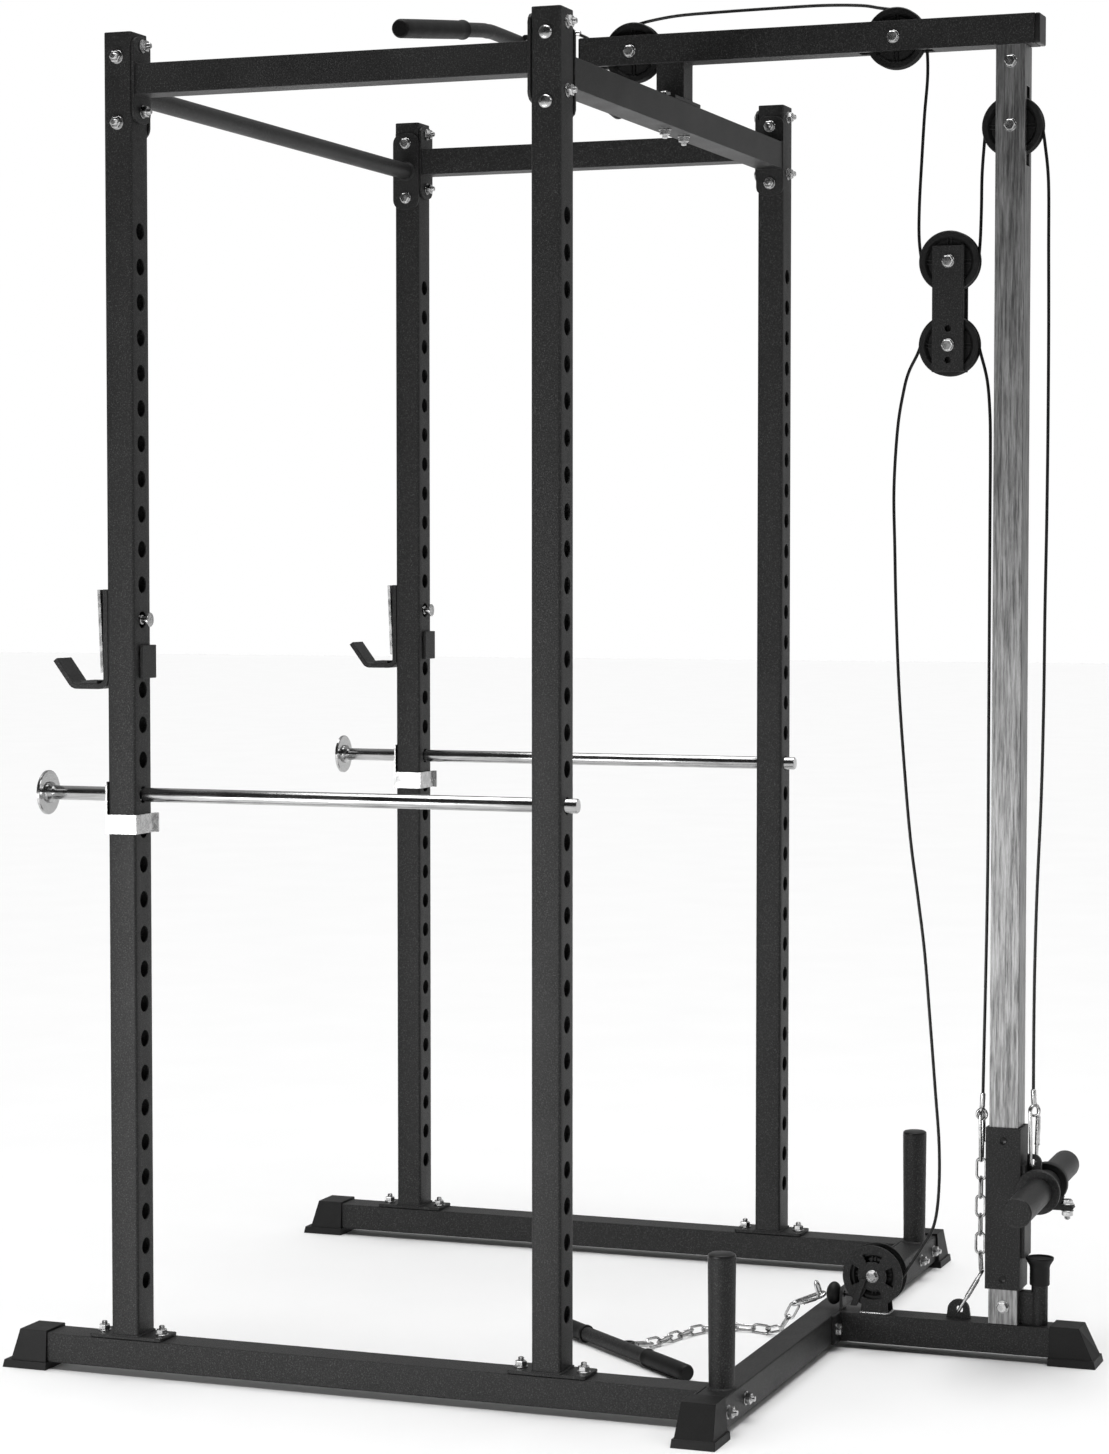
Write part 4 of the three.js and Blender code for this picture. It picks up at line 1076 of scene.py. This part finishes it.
LAT_END = cable_end("lat_front_end", (0, 198, 2280.5), (0, -1, 0.08), "lat_bar")
lat_eye = (0, LAT_BAR_Y + 23, LAT_BAR_Z + 2)
hook = snap_hook(Shape(), LAT_END + Vector((0, -4, 0)), lat_eye, (0, 0, 1), big=9.0)
hook.piece("lat_bar_snap_hook", ZINC, "lat_bar")

ANCHOR_END = cable_end("anchor_cable_end", (0, 930, 449), (0, -0.05, -1), "frame")
anchor = snap_hook(Shape(), ANCHOR_END + Vector((0, 0, -4)), (0, 928, 346), (0, 1, 0))
chain(anchor, [(0, 928, 338), (0, 927, 250), (0, 927, 180), (0, 929, 146)])
snap_hook(anchor, (0, 925, 136), (0, 893, 80), (0, 0.5, 0.5), big=9.0)
anchor.piece("anchor_chain_links", ZINC, "frame", ["anchor_chain"])

ROW_CHAIN = [
    (7, 602, 66), (2, 590, 46), (-10, 576, 22), (-22, 552, 9.0), (-34, 522, 7.8),
    (-36, 488, 7.8), (-22, 454, 7.8), (12, 426, 7.8), (60, 408, 7.8), (110, 394, 8.2), (150, 380, 10)]
row = chain(Shape(), smooth_path(ROW_CHAIN, 5), first_turn=math.radians(40))
snap_hook(row, (158, 379, 11), row_centre + row_side * 25, (0, 0, 1), big=8.0)
snap_hook(row, (0, 640, 82), (6, 606, 69), (0.2, 0.3, 1), big=10.0)
tilt = frame_along(Vector((0, -0.35, 1)).normalized(), math.radians(90))
thimble = Shape().sweep([(a, b, 0) for a, b in stadium(14.0, 8.5)], 2.6, sides=12, closed=True)
row.join(thimble, Matrix.Translation((0, 641, 93)) @ tilt)
row.piece("row_chain_links", ZINC, "row_bar", ["row_chain"])

BALL_Y, BALL_RADIUS, BALL_HALF_LENGTH = 669.2, 19.8, 12.8
ball_angles = [math.radians(a) for a in range(12, 169, 12)]
ball_profile = [(BALL_RADIUS * math.sin(a), -BALL_HALF_LENGTH * math.cos(a)) for a in ball_angles]
turned("ball_stop_rubber", RUBBER, "row_bar", (0, BALL_Y, CABLE_EAR_Z), "y", ball_profile, ["ball_stop"])


# ---------------- floor and light

def lamp(name, kind, place, target, power):
    data = bpy.data.lights.new(name, kind)
    data.energy = power
    aim(new_object(name, data), place, target)
    return data


def area_light(name, place, target, width, height, power):
    data = lamp(name, "AREA", place, target, power)
    data.shape = "RECTANGLE"
    data.size = width
    data.size_y = height


FLOOR_REACH = 40.0
floor_mesh = bpy.data.meshes.new("floor")
floor_mesh.from_pydata([(a * FLOOR_REACH, b * FLOOR_REACH, 0) for a, b in SQUARE], [], [(0, 1, 2, 3)])
floor = new_object("floor", floor_mesh)
paper = Nodes("floor_paper", metallic=0.0, specular=0.2)
paper.colour(paper.ramp(paper.noise(3.0), [(0.3, 0.885), (0.7, 0.9)]))
paper.shader.inputs["Roughness"].default_value = 0.8
floor_mesh.materials.append(paper.material)

world = bpy.data.worlds.new("studio")
bpy.context.scene.world = world
world.use_nodes = True
# The studio's walls: pale beyond the cage's far side, dim on its near side. The eye sees plain white.
tree = world.node_tree
direction = tree.nodes.new("ShaderNodeTexCoord").outputs["Generated"]
split = tree.nodes.new("ShaderNodeSeparateXYZ")
tree.links.new(direction, split.inputs["Vector"])
across = tree.nodes.new("ShaderNodeMapRange")
across.inputs["From Min"].default_value = -1.0
tree.links.new(split.outputs["X"], across.inputs["Value"])
walls = tree.nodes.new("ShaderNodeValToRGB")
for element, (place, grey) in zip(walls.color_ramp.elements, ((0.35, 0.42), (0.62, 0.03))):
    element.position = place
    element.color = (grey, grey, grey, 1.0)
tree.links.new(across.outputs["Result"], walls.inputs["Fac"])
seen = tree.nodes.new("ShaderNodeMix")
seen.data_type = "RGBA"
seen.inputs["B"].default_value = (1.0, 1.0, 1.0, 1.0)
tree.links.new(tree.nodes.new("ShaderNodeLightPath").outputs["Is Camera Ray"], seen.inputs["Factor"])
tree.links.new(walls.outputs["Color"], seen.inputs["A"])
tree.links.new(seen.outputs["Result"], tree.nodes["Background"].inputs["Color"])

sun = lamp("overhead", "SUN", (0.0, 0.0, 5.0), (0, 0, 0), 2.8)
sun.angle = math.radians(52)
area_light("key", (3.0, -1.1, 0.4), (0.6, -0.3, 0.7), 1.8, 0.5, 40.0)
area_light("rear_window", (1.5, 4.5, 4.4), (0, 0.3, 2.1), 2.0, 1.2, 30.0)

bpy.context.scene.view_settings.view_transform = "Standard"
